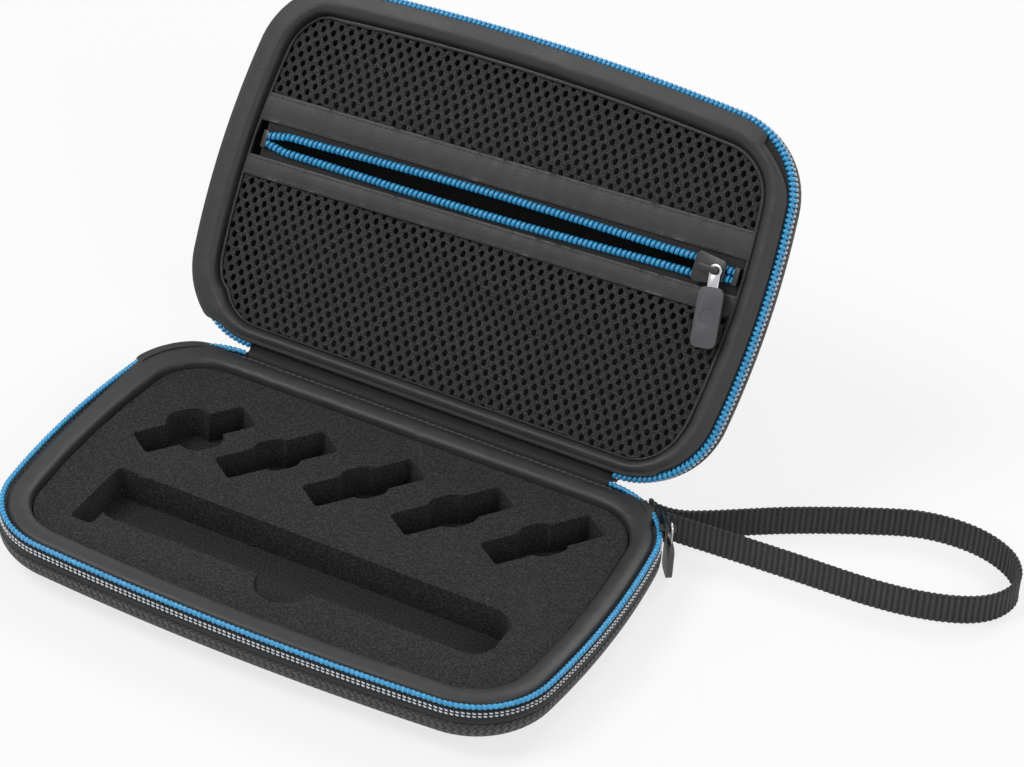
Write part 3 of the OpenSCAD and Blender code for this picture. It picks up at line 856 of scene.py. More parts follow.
# %% [markdown]
# Coil turns and stitches repeat along a path, so one node tree serves them all: it walks the path,
# drops a point every pitch, turns a small piece to follow the path, and makes the copies real. On each
# point the piece's X looks outwards, its Y looks down and its Z runs along the path.

# %% A node tree that repeats a piece along a path


def repeat_tree():
    tree = bpy.data.node_groups.new("repeat_along_path", "GeometryNodeTree")
    sockets = tree.interface
    sockets.new_socket("Path", in_out="INPUT", socket_type="NodeSocketGeometry")
    sockets.new_socket("Piece", in_out="INPUT", socket_type="NodeSocketObject")
    sockets.new_socket("Count", in_out="INPUT", socket_type="NodeSocketInt")
    sockets.new_socket("Material", in_out="INPUT", socket_type="NodeSocketMaterial")
    sockets.new_socket("Pieces", in_out="OUTPUT", socket_type="NodeSocketGeometry")
    nodes = {}
    for key, kind in {
        "given": "NodeGroupInput",
        "upright": "GeometryNodeSetCurveNormal",
        "points": "GeometryNodeCurveToPoints",
        "piece": "GeometryNodeObjectInfo",
        "copies": "GeometryNodeInstanceOnPoints",
        "real": "GeometryNodeRealizeInstances",
        "finish": "GeometryNodeSetMaterial",
        "made": "NodeGroupOutput",
    }.items():
        nodes[key] = tree.nodes.new(kind)
    nodes["points"].mode = "COUNT"
    upright = nodes["upright"]
    if "Mode" in upright.inputs:
        upright.inputs["Mode"].default_value = "Z Up"
    else:
        upright.mode = "Z_UP"
    links = [
        ("given", "Path", "upright", "Curve"), ("upright", "Curve", "points", "Curve"),
        ("given", "Count", "points", "Count"), ("given", "Piece", "piece", "Object"),
        ("points", "Points", "copies", "Points"), ("points", "Rotation", "copies", "Rotation"),
        ("piece", "Geometry", "copies", "Instance"), ("copies", "Instances", "real", "Geometry"),
        ("real", "Geometry", "finish", "Geometry"), ("given", "Material", "finish", "Material"),
        ("finish", "Geometry", "made", "Pieces"),
    ]
    for source, output, target, entry in links:
        tree.links.new(nodes[source].outputs[output], nodes[target].inputs[entry])
    return tree


repeat_along = repeat_tree()


def tree_input(tree, name):
    return next(s.identifier for s in tree.interface.items_tree if s.name == name and s.in_out == "INPUT")


def path_object(points, closed=False):
    curve = bpy.data.curves.new("path", "CURVE")
    curve.dimensions = "3D"
    spline = curve.splines.new("POLY")
    spline.points.add(len(points) - 1)
    for spot, point in zip(spline.points, points):
        spot.co = (*(np.asarray(point) * MM), 1)
    spline.use_cyclic_u = closed
    path = bpy.data.objects.new("path", curve)
    bpy.context.scene.collection.objects.link(path)
    return path


def grown_mesh(obj, tree, values):
    """The plain mesh that a tree makes on an object, which is then removed."""
    modifier = obj.modifiers.new("grow", "NODES")
    modifier.node_group = tree
    for name, value in values.items():
        modifier[tree_input(tree, name)] = value
    bpy.context.view_layer.update()
    evaluated = obj.evaluated_get(bpy.context.evaluated_depsgraph_get())
    mesh = bpy.data.meshes.new_from_object(evaluated)
    bpy.data.objects.remove(obj)
    return mesh


def repeated(name, path, piece, pitch, material, half=None, closed=False):
    length = distances(np.asarray(path))[-1]
    values = {"Piece": piece, "Count": round(length / pitch), "Material": material}
    mesh = grown_mesh(path_object(path, closed), repeat_along, values)
    points = np.empty(len(mesh.vertices) * 3)
    mesh.vertices.foreach_get("co", points)
    faces = [tuple(p.vertices) for p in mesh.polygons]
    bpy.data.meshes.remove(mesh)
    return add_piece(name, points.reshape(-1, 3) / MM, faces, material, half)


# %% [markdown]
# One turn of the coil is a short stretch of a helix: a flat oval filament that goes once round the
# sewing cord while it moves on by one pitch. Set end to end, the turns make one unbroken coil.

# %% One turn and one stitch
COIL_PITCH = 1.9


def hidden_mesh(name, points, faces):
    mesh = bpy.data.meshes.new(name)
    mesh.from_pydata((np.asarray(points) * MM).tolist(), [], faces)
    for polygon in mesh.polygons:
        polygon.use_smooth = True
    obj = bpy.data.objects.new(name, mesh)
    return obj


def coil_turn(half_width, half_height, flat, thick, rings=12, around=6):
    """A filament ring set on the slant, flat along the path and thick across it."""
    points = []
    for k in range(rings):
        turn = 2 * math.pi * k / rings
        out = np.array([math.cos(turn) * half_width, math.sin(turn) * half_height, 0])
        normal = np.array([math.cos(turn), math.sin(turn), 0])
        lean = COIL_PITCH * 0.14 * math.cos(turn)
        for j in range(around):
            roll = 2 * math.pi * j / around
            side = normal * thick * math.cos(roll) + np.array([0, 0, flat * math.sin(roll) + lean])
            points.append(out + side)
    return hidden_mesh("coil_turn", points, grid_faces(rings, around, True, True))


def stitch(length, radius, lean=0.0, rings=5, around=6):
    """A short thread that dips into the cloth at both ends."""
    points = []
    for k in range(rings):
        t = k / (rings - 1)
        swell = math.sin(math.pi * (0.08 + 0.84 * t)) ** 0.5
        dip = -radius * 1.2 * (2 * t - 1) ** 2
        for j in range(around):
            roll = 2 * math.pi * j / around
            aside = radius * swell * math.sin(roll) + lean * (t - 0.5)
            points.append([dip + radius * swell * math.cos(roll), aside, (t - 0.5) * length])
    faces = grid_faces(rings, around, False, True)
    faces += [tuple(range(around)), tuple((rings - 1) * around + j for j in range(around))[::-1]]
    return hidden_mesh("stitch", points, faces)


main_turns = {"base": coil_turn(0.75, 0.62, 0.74, 0.34), "lid": coil_turn(1.25, 0.95, 0.74, 0.42)}
pocket_turn = coil_turn(1.15, 0.92, 0.78, 0.4)
tape_stitch = stitch(1.6, 0.32, lean=0.3)

# %% [markdown]
# The main coils follow the zip run at height 0, and two rows of white thread follow it below, on the
# outer face of the tape. Both rows have the pitch of the coil, because they catch one turn each.

# %% Main coils and their sewing
THREAD_ROWS = [-2.1, -3.4]


def zip_path(inset, height):
    return sweep_points(zip_run, np.array([[inset, height]]))[:, 0, :]


for half in HALVES:
    coil = repeated(half + "_coil_turns", zip_path(0, 0), main_turns[half], COIL_PITCH, blue_nylon, half)
    stand_for(coil, half, half + "_coil")
    cord_profile = shoulder(0, 0, 0.7, 0, 315, 8)
    core = sweep(half + "_coil_cord", zip_run, cord_profile, blue_nylon, half, closed=False)
    stand_for(core, half)
    rows = []
    for side, height in zip(("upper", "lower"), THREAD_ROWS):
        row_path = zip_path(TAPE_OUT - 0.14, height)
        rows.append(repeated(half + "_thread_" + side, row_path, tape_stitch, COIL_PITCH, white_thread, half))
    stand_for(rows[0], half, half + "_stitches")
    stand_for(rows[1], half, half + "_stitches")
    print(half, "coil faces", len(coil.data.polygons), "thread faces", 2 * len(rows[0].data.polygons))

ledge = sweep("lid_tape_ledge", zip_run, TAPE_LEDGE, tape_weave, "lid", closed=False)
stand_for(sharpen(ledge, 50), "lid")

# %% [markdown]
# The pocket's zip crosses the lid at a slight slant. Its pieces are drawn along their own axis, U along
# the zip and V towards the fold, and turned into the lid's drawing. The two coils part in a long lens.

# %% Pocket zip layout
ZIP_SLANT = math.radians(-2)
ZIP_MID_Y = -7.9
WELT_W = 1.6
STOP_L = 2
POCKET_HALF = CASE_LEN / 2 - RIM_IN - WELT_W - STOP_L - 0.7
SLIDER_U = POCKET_HALF - 9
COIL_W = 3
CLOSED_V = COIL_W / 2 + 0.05
OPEN_V = 3 / 2 + COIL_W / 2
POCKET_COIL_H = 2.4
LENS_SLACK = 1.1
TAPE_FAR = 8.5
STRIP_FROM = 6.6
STRIP_T = 0.8
STRIP_UP_W = 11
STRIP_LOW_W = 8


def from_zip(points):
    """From the pocket zip's own drawing to the lid's."""
    u, v, h = np.asarray(points, float).T
    x = u * math.cos(ZIP_SLANT) - v * math.sin(ZIP_SLANT)
    y = u * math.sin(ZIP_SLANT) + v * math.cos(ZIP_SLANT) + ZIP_MID_Y
    return np.stack([x, y, h], axis=1)


def to_zip(points):
    x, y = np.asarray(points, float).T
    y = y - ZIP_MID_Y
    return np.stack([x * math.cos(ZIP_SLANT) + y * math.sin(ZIP_SLANT),
                     -x * math.sin(ZIP_SLANT) + y * math.cos(ZIP_SLANT)], axis=1)


def coil_v(u):
    closing = OPEN_V - CLOSED_V
    if u > SLIDER_U:
        return OPEN_V - closing * min(1, (u - SLIDER_U) / 6)
    slack = LENS_SLACK * max(0, 1 - ((u + 6) / (SLIDER_U - 8)) ** 2) ** 1.5
    return OPEN_V + slack - closing * min(1, max(0, (8 - POCKET_HALF - u) / 8))


pocket_edge = sweep_points(lid_ring, np.array([[RIM_IN, 0]]), RIM_SQUEEZE)[:, 0, :2]
pocket_edge_zip = to_zip(pocket_edge)


def u_limits(v, margin=0.0):
    """Where a line at V meets the pocket's edge, left and right."""
    u = []
    for a, b in zip(pocket_edge_zip, np.roll(pocket_edge_zip, -1, axis=0)):
        if (a[1] - v) * (b[1] - v) < 0:
            u.append(a[0] + (b[0] - a[0]) * (v - a[1]) / (b[1] - a[1]))
    return min(u) + margin, max(u) - margin


print("pocket zip from", u_limits(0))

# %% [markdown]
# Two leather strips cover the edges of the pocket's zip tape, and each is sewn down along both sides. A
# sewn strip puckers between its stitches, so its surface rises and falls a little along the seam.

# %% Strips beside the pocket zip
STITCH_IN = 1.1
STRIP_ACROSS = [[0, 0], [0, 0.55], [0.25, 0.78], [1.1, 0.62], [2.0, 0.8]]


def strip_profile(width):
    near = np.array(STRIP_ACROSS)
    far = near[::-1] * [-1, 1] + [width, 0]
    middle = [[width / 2, STRIP_T]]
    return np.vstack([near, middle, far])


def strip_piece(name, v_from, width, node):
    profile = strip_profile(width)
    profile[:, 1] = np.minimum(profile[:, 1], STRIP_T)
    steps = 240
    points, uv = [], []
    for t in np.linspace(0, 1, steps):
        for across, height in profile:
            left, right = u_limits(v_from + across, 0.4)
            u = left + (right - left) * t
            sewn = math.exp(-min(across, width - across) ** 2 / 4)
            lift = noise.noise(Vector((u * 0.33, across * 0.2, v_from))) * 0.22 * (0.4 + sewn)
            points.append([u, v_from + across, NET_TOP + height + (lift if height > 0.1 else 0)])
            uv.append([u, across])
    faces = [face[::-1] for face in grid_faces(steps, len(profile), False, True)]
    last = (steps - 1) * len(profile)
    faces.append(tuple(range(len(profile))))
    faces.append(tuple(last + b for b in range(len(profile)))[::-1])
    piece = add_piece(name, from_zip(points), faces, strip_leather, "lid", uv)
    return stand_for(sharpen(piece, 55), "lid", node)


strip_piece("upper_strip_leather", -STRIP_FROM - STRIP_UP_W, STRIP_UP_W, "pocket_strip_upper")
strip_piece("lower_strip_leather", STRIP_FROM, STRIP_LOW_W, "pocket_strip_lower")

# %% Stitches along the strips
STRIP_STITCH_PITCH = 2.3
flat_stitch = stitch(1.75, 0.17)
for vertex in flat_stitch.data.vertices:
    vertex.co = Vector((vertex.co.y, -vertex.co.x, vertex.co.z))
seams = []
for v_from, width in ((-STRIP_FROM - STRIP_UP_W, STRIP_UP_W), (STRIP_FROM, STRIP_LOW_W)):
    for v in (v_from + STITCH_IN, v_from + width - STITCH_IN):
        left, right = u_limits(v, 1.5)
        path = from_zip([[u, v, NET_TOP + 0.74] for u in np.linspace(left, right, 60)])
        name = "strip_seam_%d" % len(seams)
        seams.append(repeated(name, path, flat_stitch, STRIP_STITCH_PITCH, grey_thread, "lid"))
for seam in seams:
    stand_for(seam, "lid")
print("strip seams", len(seams), "of", len(seams[0].data.polygons), "faces")

# %% [markdown]
# The pocket's own tapes are flat, and their inner edges follow the coils. The coil sits on top of its
# tape and is drawn with the same turn as the main zip's, a little lower.

# %% Pocket tapes and coils
TAPE_HALF = POCKET_HALF + STOP_L + 0.2


def pocket_tape(name, side, node):
    steps = 200
    points, uv = [], []
    for u in np.linspace(-TAPE_HALF, TAPE_HALF, steps):
        inner = coil_v(max(-POCKET_HALF, min(POCKET_HALF, u))) - 0.9
        section = ((inner, -TAPE_T), (TAPE_FAR, -TAPE_T), (TAPE_FAR, 0), (inner + 0.2, 0), (inner, -0.2))
        for v, height in section:
            points.append([u, side * v, NET_TOP + height])
            uv.append([u, v])
    faces = grid_faces(steps, 5, False, True)
    faces.append(tuple(range(5))[::-1])
    faces.append(tuple((steps - 1) * 5 + b for b in range(5)))
    if side > 0:
        faces = [face[::-1] for face in faces]
    piece = add_piece(name, from_zip(points), faces, tape_weave, "lid", uv)
    return stand_for(sharpen(piece, 40), "lid", node)


for side, word in ((-1, "upper"), (1, "lower")):
    pocket_tape("pocket_tape_" + word + "_band", side, "pocket_tape_" + word)
    along_zip = np.linspace(-POCKET_HALF, POCKET_HALF, 160)
    line = [[u, side * coil_v(u), NET_TOP + POCKET_COIL_H / 2] for u in along_zip]
    path = from_zip(line)
    coil = repeated("pocket_coil_" + word + "_turns", path, pocket_turn, COIL_PITCH, blue_nylon, "lid")
    stand_for(coil, "lid", "pocket_coil_" + word)

# %% [markdown]
# The pocket is black air mesh: yarn knitted round staggered oval openings. A node tree lays one knitted
# cell on a staggered grid, keeps the cells that lie over the pocket's outline, and welds them into one
# net. The net is then moved like cloth: it bellies a little and has a soft valley where it is empty.

# %% A node tree for the mesh
CELL_W = 4.4
CELL_H = 3.0
OPENING_W = 1.12
OPENING_H = 1.46
KNIT_TURN = math.radians(8)
YARN_DEEP = 0.75


def knitted_cell():
    """A six-sided tile with an oval opening whose edge is rolled inwards."""
    corners = [(0.5, 0), (0.5, 1 / 3), (0.25, 0.5), (0, 2 / 3), (-0.25, 0.5), (-0.5, 1 / 3),
               (-0.5, 0), (-0.5, -1 / 3), (-0.25, -0.5), (0, -2 / 3), (0.25, -0.5), (0.5, -1 / 3)]
    rings = []
    for grow, height in ((None, -0.3), (1.32, 0.08), (1.0, -0.12), (0.94, -YARN_DEEP)):
        for x, y in corners:
            turn = math.atan2(y * CELL_H, x * CELL_W)
            if grow is None:
                rings.append([x * CELL_W, y * CELL_H, height])
            else:
                rings.append([OPENING_W * grow * math.cos(turn), OPENING_H * grow * math.sin(turn), height])
    return hidden_mesh("knitted_cell", rings, [f[::-1] for f in grid_faces(4, len(corners), False, True)])


def net_tree():
    tree = bpy.data.node_groups.new("net_of_cells", "GeometryNodeTree")
    sockets = tree.interface
    sockets.new_socket("Outline", in_out="INPUT", socket_type="NodeSocketGeometry")
    sockets.new_socket("Cell", in_out="INPUT", socket_type="NodeSocketObject")
    for name in ("Cell width", "Cell height", "Span"):
        sockets.new_socket(name, in_out="INPUT", socket_type="NodeSocketFloat")
    sockets.new_socket("Material", in_out="INPUT", socket_type="NodeSocketMaterial")
    sockets.new_socket("Net", in_out="OUTPUT", socket_type="NodeSocketGeometry")
    add = tree.nodes.new
    link = tree.links.new

    def maths(operation, a, b):
        made = add("ShaderNodeMath")
        made.operation = operation
        for socket, value in zip(made.inputs, (a, b)):
            if isinstance(value, (int, float)):
                socket.default_value = value
            else:
                link(value, socket)
        return made.outputs[0]

    given = add("NodeGroupInput")
    cols = maths("ROUND", maths("DIVIDE", given.outputs["Span"], given.outputs["Cell width"]), 0)
    rows = maths("ROUND", maths("DIVIDE", given.outputs["Span"], given.outputs["Cell height"]), 0)
    grid = add("GeometryNodeMeshGrid")
    link(maths("MULTIPLY", maths("SUBTRACT", cols, 1), given.outputs["Cell width"]), grid.inputs["Size X"])
    link(maths("MULTIPLY", maths("SUBTRACT", rows, 1), given.outputs["Cell height"]), grid.inputs["Size Y"])
    link(cols, grid.inputs["Vertices X"])
    link(rows, grid.inputs["Vertices Y"])
    place = add("GeometryNodeInputPosition")
    parts = add("ShaderNodeSeparateXYZ")
    link(place.outputs[0], parts.inputs[0])
    row = maths("ROUND", maths("DIVIDE", parts.outputs["Y"], given.outputs["Cell height"]), 0)
    odd = maths("PINGPONG", row, 1)
    shift = add("ShaderNodeCombineXYZ")
    link(maths("MULTIPLY", maths("MULTIPLY", odd, 0.5), given.outputs["Cell width"]), shift.inputs["X"])
    stagger = add("GeometryNodeSetPosition")
    link(grid.outputs["Mesh"], stagger.inputs["Geometry"])
    link(shift.outputs[0], stagger.inputs["Offset"])
    ray = add("GeometryNodeRaycast")
    link(given.outputs["Outline"], ray.inputs["Target Geometry"])
    above = add("ShaderNodeVectorMath")
    above.inputs[1].default_value = (0, 0, 1)
    link(place.outputs[0], above.inputs[0])
    link(above.outputs[0], ray.inputs["Source Position"])
    ray.inputs["Ray Direction"].default_value = (0, 0, -1)
    missed = add("FunctionNodeBooleanMath")
    missed.operation = "NOT"
    link(ray.outputs["Is Hit"], missed.inputs[0])
    kept = add("GeometryNodeDeleteGeometry")
    link(stagger.outputs["Geometry"], kept.inputs["Geometry"])
    link(missed.outputs[0], kept.inputs["Selection"])
    cell = add("GeometryNodeObjectInfo")
    link(given.outputs["Cell"], cell.inputs["Object"])
    copies = add("GeometryNodeInstanceOnPoints")
    link(kept.outputs["Geometry"], copies.inputs["Points"])
    link(cell.outputs["Geometry"], copies.inputs["Instance"])
    real = add("GeometryNodeRealizeInstances")
    link(copies.outputs["Instances"], real.inputs["Geometry"])
    weld = add("GeometryNodeMergeByDistance")
    weld.inputs["Distance"].default_value = 0.02 * MM
    link(real.outputs["Geometry"], weld.inputs["Geometry"])
    finish = add("GeometryNodeSetMaterial")
    link(weld.outputs["Geometry"], finish.inputs["Geometry"])
    link(given.outputs["Material"], finish.inputs["Material"])
    made = add("NodeGroupOutput")
    link(finish.outputs["Geometry"], made.inputs["Net"])
    return tree


net_cells = net_tree()
cell_piece = knitted_cell()

# %% Mesh of the pocket
UNDER_RIM = 2.2
VALLEY_FROM = np.array([-55, 16])
VALLEY_TO = np.array([25, 52])
VALLEY_DEEP = 3.6
VALLEY_HALF = 8
BELLY_HIGH = 2.0
BELLY_FROM = {"upper": -17, "lower": 14}
BELLY_TO = {"upper": -30, "lower": 42}
BELLY_END = 96
CREASE_HIGH = 0.35


def turned_flat(points, angle):
    """Points turned in their plane, because the mesh was cut a little off its straight grain."""
    turned = np.array(points, float)
    u, v = points[:, 0], points[:, 1]
    turned[:, 0] = u * math.cos(angle) - v * math.sin(angle)
    turned[:, 1] = u * math.sin(angle) + v * math.cos(angle)
    return turned


def net_outline(v_from, v_to):
    """The part of the pocket's outline between two lines along the zip, reaching under the rim."""
    reach = to_zip(sweep_points(lid_ring, np.array([[RIM_IN - UNDER_RIM, 0]]), RIM_SQUEEZE)[:, 0, :2])
    reach[:, 1] = np.clip(reach[:, 1], v_from, v_to)
    reach = turned_flat(reach, -KNIT_TURN)
    mesh = bpy.data.meshes.new("net_outline")
    mesh.from_pydata([(u * MM, v * MM, 0) for u, v in reach], [], [tuple(range(len(reach)))])
    outline = bpy.data.objects.new("net_outline", mesh)
    bpy.context.scene.collection.objects.link(outline)
    return outline


def belly(u, v, word):
    """How far the slack net stands in from its frame, in millimetres."""
    far = BELLY_TO[word]
    near = BELLY_FROM[word]
    lower = word == "lower"
    across = min(1, max(0, (v - near) / (far - near)))
    along = min(1, max(0, 1 - (abs(u) / BELLY_END) ** 4))
    lift = BELLY_HIGH * math.sin(math.pi * across) * along
    if lower:
        direction = (VALLEY_TO - VALLEY_FROM) / np.linalg.norm(VALLEY_TO - VALLEY_FROM)
        offset = np.array([u, v]) - VALLEY_FROM
        aside = offset @ np.array([-direction[1], direction[0]])
        travelled = (offset @ direction) / np.linalg.norm(VALLEY_TO - VALLEY_FROM)
        within = math.sin(math.pi * min(1, max(0, travelled)))
        lift -= VALLEY_DEEP * math.exp(-(aside / VALLEY_HALF) ** 2) * within * along
    return lift + CREASE_HIGH * noise.noise(Vector((u * 0.05, v * 0.05, 3 if lower else 7))) * along


def net_piece(word, v_from, v_to):
    values = {
        "Cell": cell_piece, "Cell width": CELL_W * MM, "Cell height": CELL_H * MM,
        "Span": CASE_LEN * MM, "Material": net_yarn,
    }
    mesh = grown_mesh(net_outline(v_from, v_to), net_cells, values)
    points = np.empty(len(mesh.vertices) * 3)
    mesh.vertices.foreach_get("co", points)
    points = turned_flat(points.reshape(-1, 3) / MM, KNIT_TURN)
    faces = [tuple(p.vertices) for p in mesh.polygons]
    for point in points:
        point[2] += NET_TOP - 0.1 + belly(point[0], point[1], word)
    piece = add_piece("pocket_mesh_" + word, from_zip(points), faces, net_yarn, "lid")
    stand_for(piece, "lid", "pocket_net_" + word)
    return piece


net_piece("upper", -CASE_DEP, -TAPE_FAR - 0.3)
net_piece("lower", TAPE_FAR + 0.3, CASE_DEP)

# %% [markdown]
# A narrow welt hides the edge of the mesh where it meets the rim, and it is sewn all the way round with
# small grey stitches. Its edge wanders a little, as sewn edges do.

# %% Welt round the mesh


def wander(grid, run, profile):
    for a in range(len(run)):
        shift = noise.noise(Vector((grid[a, 0, 0] * 0.12, grid[a, 0, 1] * 0.12, 5))) * 0.22
        angle = math.radians(run[a, 2])
        grid[a, 1:3, :2] += shift * np.array([math.cos(angle), math.sin(angle)])
        grid[a, 2:, 2] += noise.noise(Vector((grid[a, 0, 0] * 0.5, grid[a, 0, 1] * 0.5, 2))) * 0.1
    return grid


WELT_PROFILE = [[RIM_IN, NET_TOP], [RIM_IN + WELT_W, NET_TOP], [RIM_IN + WELT_W, NET_TOP + 0.5],
                [RIM_IN + WELT_W - 0.3, NET_TOP + 0.85], [RIM_IN + WELT_W / 2, NET_TOP + 1.0],
                [RIM_IN + 0.3, NET_TOP + 0.9], [RIM_IN, NET_TOP + 0.6]]
welt = sweep("lid_welt_edge", lid_ring, WELT_PROFILE, welt_leather, "lid", squeeze=RIM_SQUEEZE, shape=wander)
stand_for(sharpen(welt, 50), "lid", "lid_welt")
welt_line = sweep_points(lid_ring, np.array([[RIM_IN + WELT_W / 2, NET_TOP + 1.0]]), RIM_SQUEEZE)[:, 0, :]
welt_seam = repeated("welt_seam", welt_line, flat_stitch, 2.1, grey_thread, "lid", closed=True)
stand_for(welt_seam, "lid")

# %% [markdown]
# Behind the fold a strip of cloth joins the two halves. On the real case it is the piece that bends when the
# lid moves; here it is drawn for the present opening, following the base at one edge, the lid at the other,
# and turning smoothly between them.

# %% Hinge gusset
GUSSET_Y = CASE_DEP / 2 + 0.1 + TAPE_T / 2
LEAF_TOP = COIL_TOP


def swung(y, z):
    over_y, over_z = y - FOLD_Y, z - FOLD_Z
    return (FOLD_Y + over_y * math.cos(OPEN_ANGLE) + over_z * math.sin(OPEN_ANGLE),
            FOLD_Z - over_y * math.sin(OPEN_ANGLE) + over_z * math.cos(OPEN_ANGLE))


lid_leaf = swung(GUSSET_Y, HALF_H + COIL_GAP + LEAF_TOP)
lid_hem = swung(GUSSET_Y, HALF_H + COIL_GAP + BAND_H - 0.2)
GUSSET_PATH = [
    (GUSSET_Y, HALF_H - BAND_H + 0.2), (GUSSET_Y, HALF_H - LEAF_TOP), (GUSSET_Y + 0.7, HALF_H - 0.9),
    (GUSSET_Y + 1.8, HALF_H - 1.4), (lid_leaf[0] - 0.9, lid_leaf[1] - 1.3), lid_leaf, lid_hem,
]


def gusset_piece():
    line = curve_through(GUSSET_PATH, 8)
    slopes = np.gradient(line, axis=0)
    normals = np.stack([slopes[:, 1], -slopes[:, 0]], axis=1) / np.linalg.norm(slopes, axis=1)[:, None]
    loop = np.vstack([line + normals * TAPE_T / 2, (line - normals * TAPE_T / 2)[::-1]])
    steps = 120
    half = BACK_X - 0.5
    points, uv = [], []
    across = distances(loop)
    for x in np.linspace(-half, half, steps):
        for (y, z), v in zip(loop, across):
            crease = noise.noise(Vector((x * 0.12, v * 0.4, 1))) * 0.2
            points.append([x, y, z + crease])
            uv.append([x, v])
    faces = grid_faces(steps, len(loop), False, True)
    faces.append(tuple(range(len(loop)))[::-1])
    faces.append(tuple((steps - 1) * len(loop) + b for b in range(len(loop))))
    piece = add_piece("gusset_cloth", points, faces, tape_weave, None, uv)
    fix = bmesh.new()
    fix.from_mesh(piece.data)
    bmesh.ops.recalc_face_normals(fix, faces=fix.faces)
    fix.to_mesh(piece.data)
    fix.free()
    return piece


gusset = gusset_piece()
end = (0, lid_leaf[0] * MM, lid_leaf[1] * MM)
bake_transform(gusset)
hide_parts("hinge_gusset")

# %% [markdown]
# Sliders, links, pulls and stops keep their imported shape, because they have to clear each other as they
# move. Each gets the fine rounded edge that casting, stamping or moulding leaves.

# %% Sliders, links, pulls and stops
for node, body, material, edge in (
    ("pocket_slider", "pocket_slider", enamel, 0.4),
    ("main_slider", "main_slider", enamel, 0.22),
    ("pocket_link", "pocket_pull", nickel, 0.2),
    ("main_link", "main_pull", nickel, 0.2),
    ("pocket_tab", "pocket_pull", rubber, 0.45),
    ("main_tab", "main_pull", rubber, 0.45),
    ("pocket_end_stops", "lid", enamel, 0.2),
    ("main_end_stop", "base", enamel, 0.1),
):
    refined(node, body, material, edge)

# %% [markdown]
# The wrist strap is narrow ribbed webbing that stands on its edge, because both ends are sewn upright
# into a folded tab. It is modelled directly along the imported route: a flat section with slightly fuller
# selvages, carried along one smooth curve.

# %% Wrist strap
STRAP_W = 12
STRAP_T = 1.8
RIB_THIN = 0.5
RIB_ROUND = 0.7
RIB_DIP = 0.3
ANCHOR_AT = math.radians(72)
FOLD_HALF = 3


def anchor_side(radius, far=0.0):
    return (BACK_X + radius * math.cos(ANCHOR_AT) + (FOLD_HALF + far) * math.sin(ANCHOR_AT),
            BACK_Y + radius * math.sin(ANCHOR_AT) - (FOLD_HALF + far) * math.cos(ANCHOR_AT))


STRAP_ROUTE = [
    (*anchor_side(CORNER_R + 6.1), 12.5), (*anchor_side(CORNER_R + 6.2, 4), 12), (101, 76.5, 9),
    (109.5, 84, 7), (134, 102.5, 6.3), (160, 118, 6.3), (179, 126.5, 6.3), (198, 127.5, 6.3),
    (213, 121.5, 6.3), (220.5, 110.5, 6.3), (219, 99, 6.3), (211, 90, 6.3), (196, 83.5, 6.3),
    (176, 80, 6.3), (145, 78.8, 6.3), (118, 77.2, 6.6), (104, 74, 8.6),
    (*anchor_side(CORNER_R + 3.4, 4), 12), (*anchor_side(CORNER_R + 3.6), 12.5),
]


def strap_piece():
    line = curve_through(STRAP_ROUTE, 50)
    along = distances(line)
    section = [
        (-0.32, -1), (0.32, -1), (0.5, -0.93), (0.5, -0.8), (0.42, -0.7), (0.42, 0),
        (0.42, 0.7), (0.5, 0.8), (0.5, 0.93), (0.32, 1), (-0.32, 1), (-0.5, 0.93),
        (-0.5, 0.8), (-0.42, 0.7), (-0.42, 0), (-0.42, -0.7), (-0.5, -0.8), (-0.5, -0.93),
    ]
    radial = np.array([math.cos(ANCHOR_AT), math.sin(ANCHOR_AT), 0])
    points, uv = [], []
    for k, spot in enumerate(line):
        ahead = line[min(k + 1, len(line) - 1)] - line[max(k - 1, 0)]
        side = np.array([ahead[1], -ahead[0], 0]) / np.linalg.norm(ahead[:2])
        if k in (0, len(line) - 1):
            side = radial if k else -radial
        rib = abs(math.sin(math.pi * along[k] / RIB_PITCH))
        thickness = STRAP_T * (RIB_THIN + (1 - RIB_THIN) * rib**RIB_ROUND)
        height = STRAP_W / 2 - RIB_DIP * (1 - rib)
        for thick, high in section:
            points.append(spot + side * thick * thickness + np.array([0, 0, high * height]))
            uv.append([along[k], high * STRAP_W / 2 + (30 if thick < 0 else 0)])
    faces = grid_faces(len(line), len(section), False, True)
    faces.append(tuple(range(len(section)))[::-1])
    faces.append(tuple((len(line) - 1) * len(section) + b for b in range(len(section))))
    piece = add_piece("strap_webbing", points, [f[::-1] for f in faces], webbing, None, uv)
    return piece, line, along[-1]


strap, strap_line, strap_length = strap_piece()
stand_for(sharpen(strap, 50), "base", "wrist_strap")
refined("strap_anchor", "base", webbing, 0.3)
print("strap length", round(strap_length, 1), "mm")

# %% [markdown]
# A pale floor and soft light from large lamps show the dark materials without hard shadows. The lamps
# stay at a plain level, so that a colour renders about as it is written.

# %% Floor and light
FLOOR_HALF = 3.0
floor_mesh = bpy.data.meshes.new("studio_floor")
floor_corners = [(x * FLOOR_HALF, y * FLOOR_HALF, 0) for x, y in ((-1, -1), (1, -1), (1, 1), (-1, 1))]
floor_mesh.from_pydata(floor_corners, [], [(0, 1, 2, 3)])
floor = bpy.data.objects.new("studio_floor", floor_mesh)
floor_paint = Finish("floor_paint", 0.9)
floor_paint.feed(floor_paint.shader.inputs["Base Color"], shade(240, 240, 241))
PAPER_GLOW = 0.75


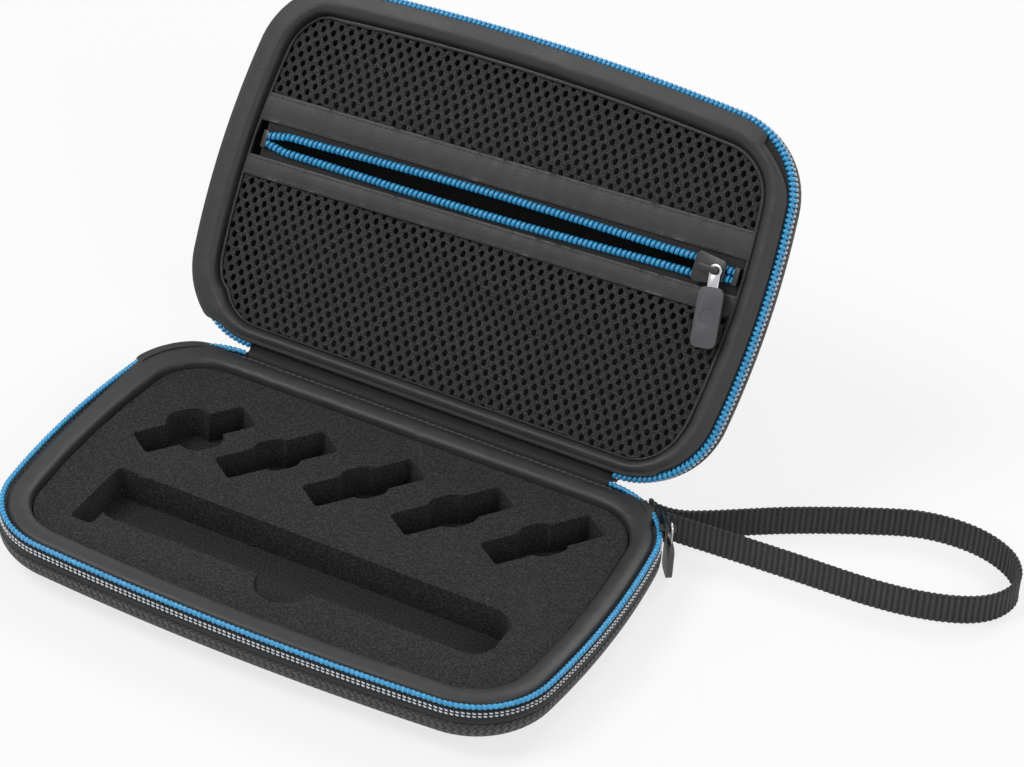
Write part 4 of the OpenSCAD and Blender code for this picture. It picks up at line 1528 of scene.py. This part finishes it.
def seen_rays(tree):
    """1 for the rays that show a background: straight, mirrored or through glass."""
    path = tree.nodes.new("ShaderNodeLightPath")
    total = path.outputs["Is Camera Ray"]
    for name in ("Is Glossy Ray", "Is Transmission Ray"):
        joined = tree.nodes.new("ShaderNodeMath")
        joined.operation = "MAXIMUM"
        tree.links.new(total, joined.inputs[0])
        tree.links.new(path.outputs[name], joined.inputs[1])
        total = joined.outputs[0]
    return total


def whiten_floor(finish):
    tree = finish.tree
    glow = tree.nodes.new("ShaderNodeEmission")
    blend = tree.nodes.new("ShaderNodeMixShader")
    share = Signal(finish, seen_rays(tree)) * PAPER_GLOW
    tree.links.new(share.socket, blend.inputs["Fac"])
    tree.links.new(finish.shader.outputs[0], blend.inputs[1])
    tree.links.new(glow.outputs[0], blend.inputs[2])
    tree.links.new(blend.outputs[0], tree.nodes["Material Output"].inputs["Surface"])


whiten_floor(floor_paint)
floor_mesh.materials.append(floor_paint.material)
bpy.context.scene.collection.objects.link(floor)


def soft_lamp(name, place, aim, size, watts):
    light = bpy.data.lights.new(name, "AREA")
    light.shape = "DISK"
    light.size = size
    light.energy = watts
    lamp = bpy.data.objects.new(name, light)
    lamp.location = place
    lamp.rotation_euler = (Vector(aim) - Vector(place)).to_track_quat("-Z", "Y").to_euler()
    bpy.context.scene.collection.objects.link(lamp)


CASE_MIDDLE = (0.05, 0.06, 0.03)
soft_lamp("key_lamp", (-0.7, -0.5, 1.3), CASE_MIDDLE, 0.7, 11)
soft_lamp("fill_lamp", (1.1, -0.6, 0.9), CASE_MIDDLE, 0.8, 4.5)
soft_lamp("back_lamp", (0.2, 1.1, 1.1), CASE_MIDDLE, 0.7, 8)
world = bpy.data.worlds.new("studio")
world.use_nodes = True
world.node_tree.nodes["Background"].inputs["Color"].default_value = (1, 1, 1, 1)
world.node_tree.nodes["Background"].inputs["Strength"].default_value = 0.34
white_world = world.node_tree.nodes.new("ShaderNodeBackground")
world_mix = world.node_tree.nodes.new("ShaderNodeMixShader")
world_links = world.node_tree.links
world_links.new(seen_rays(world.node_tree), world_mix.inputs["Fac"])
world_links.new(world.node_tree.nodes["Background"].outputs[0], world_mix.inputs[1])
world_links.new(white_world.outputs[0], world_mix.inputs[2])
world_links.new(world_mix.outputs[0], world.node_tree.nodes["World Output"].inputs["Surface"])
bpy.context.scene.world = world
bpy.context.scene.view_settings.view_transform = "Standard"
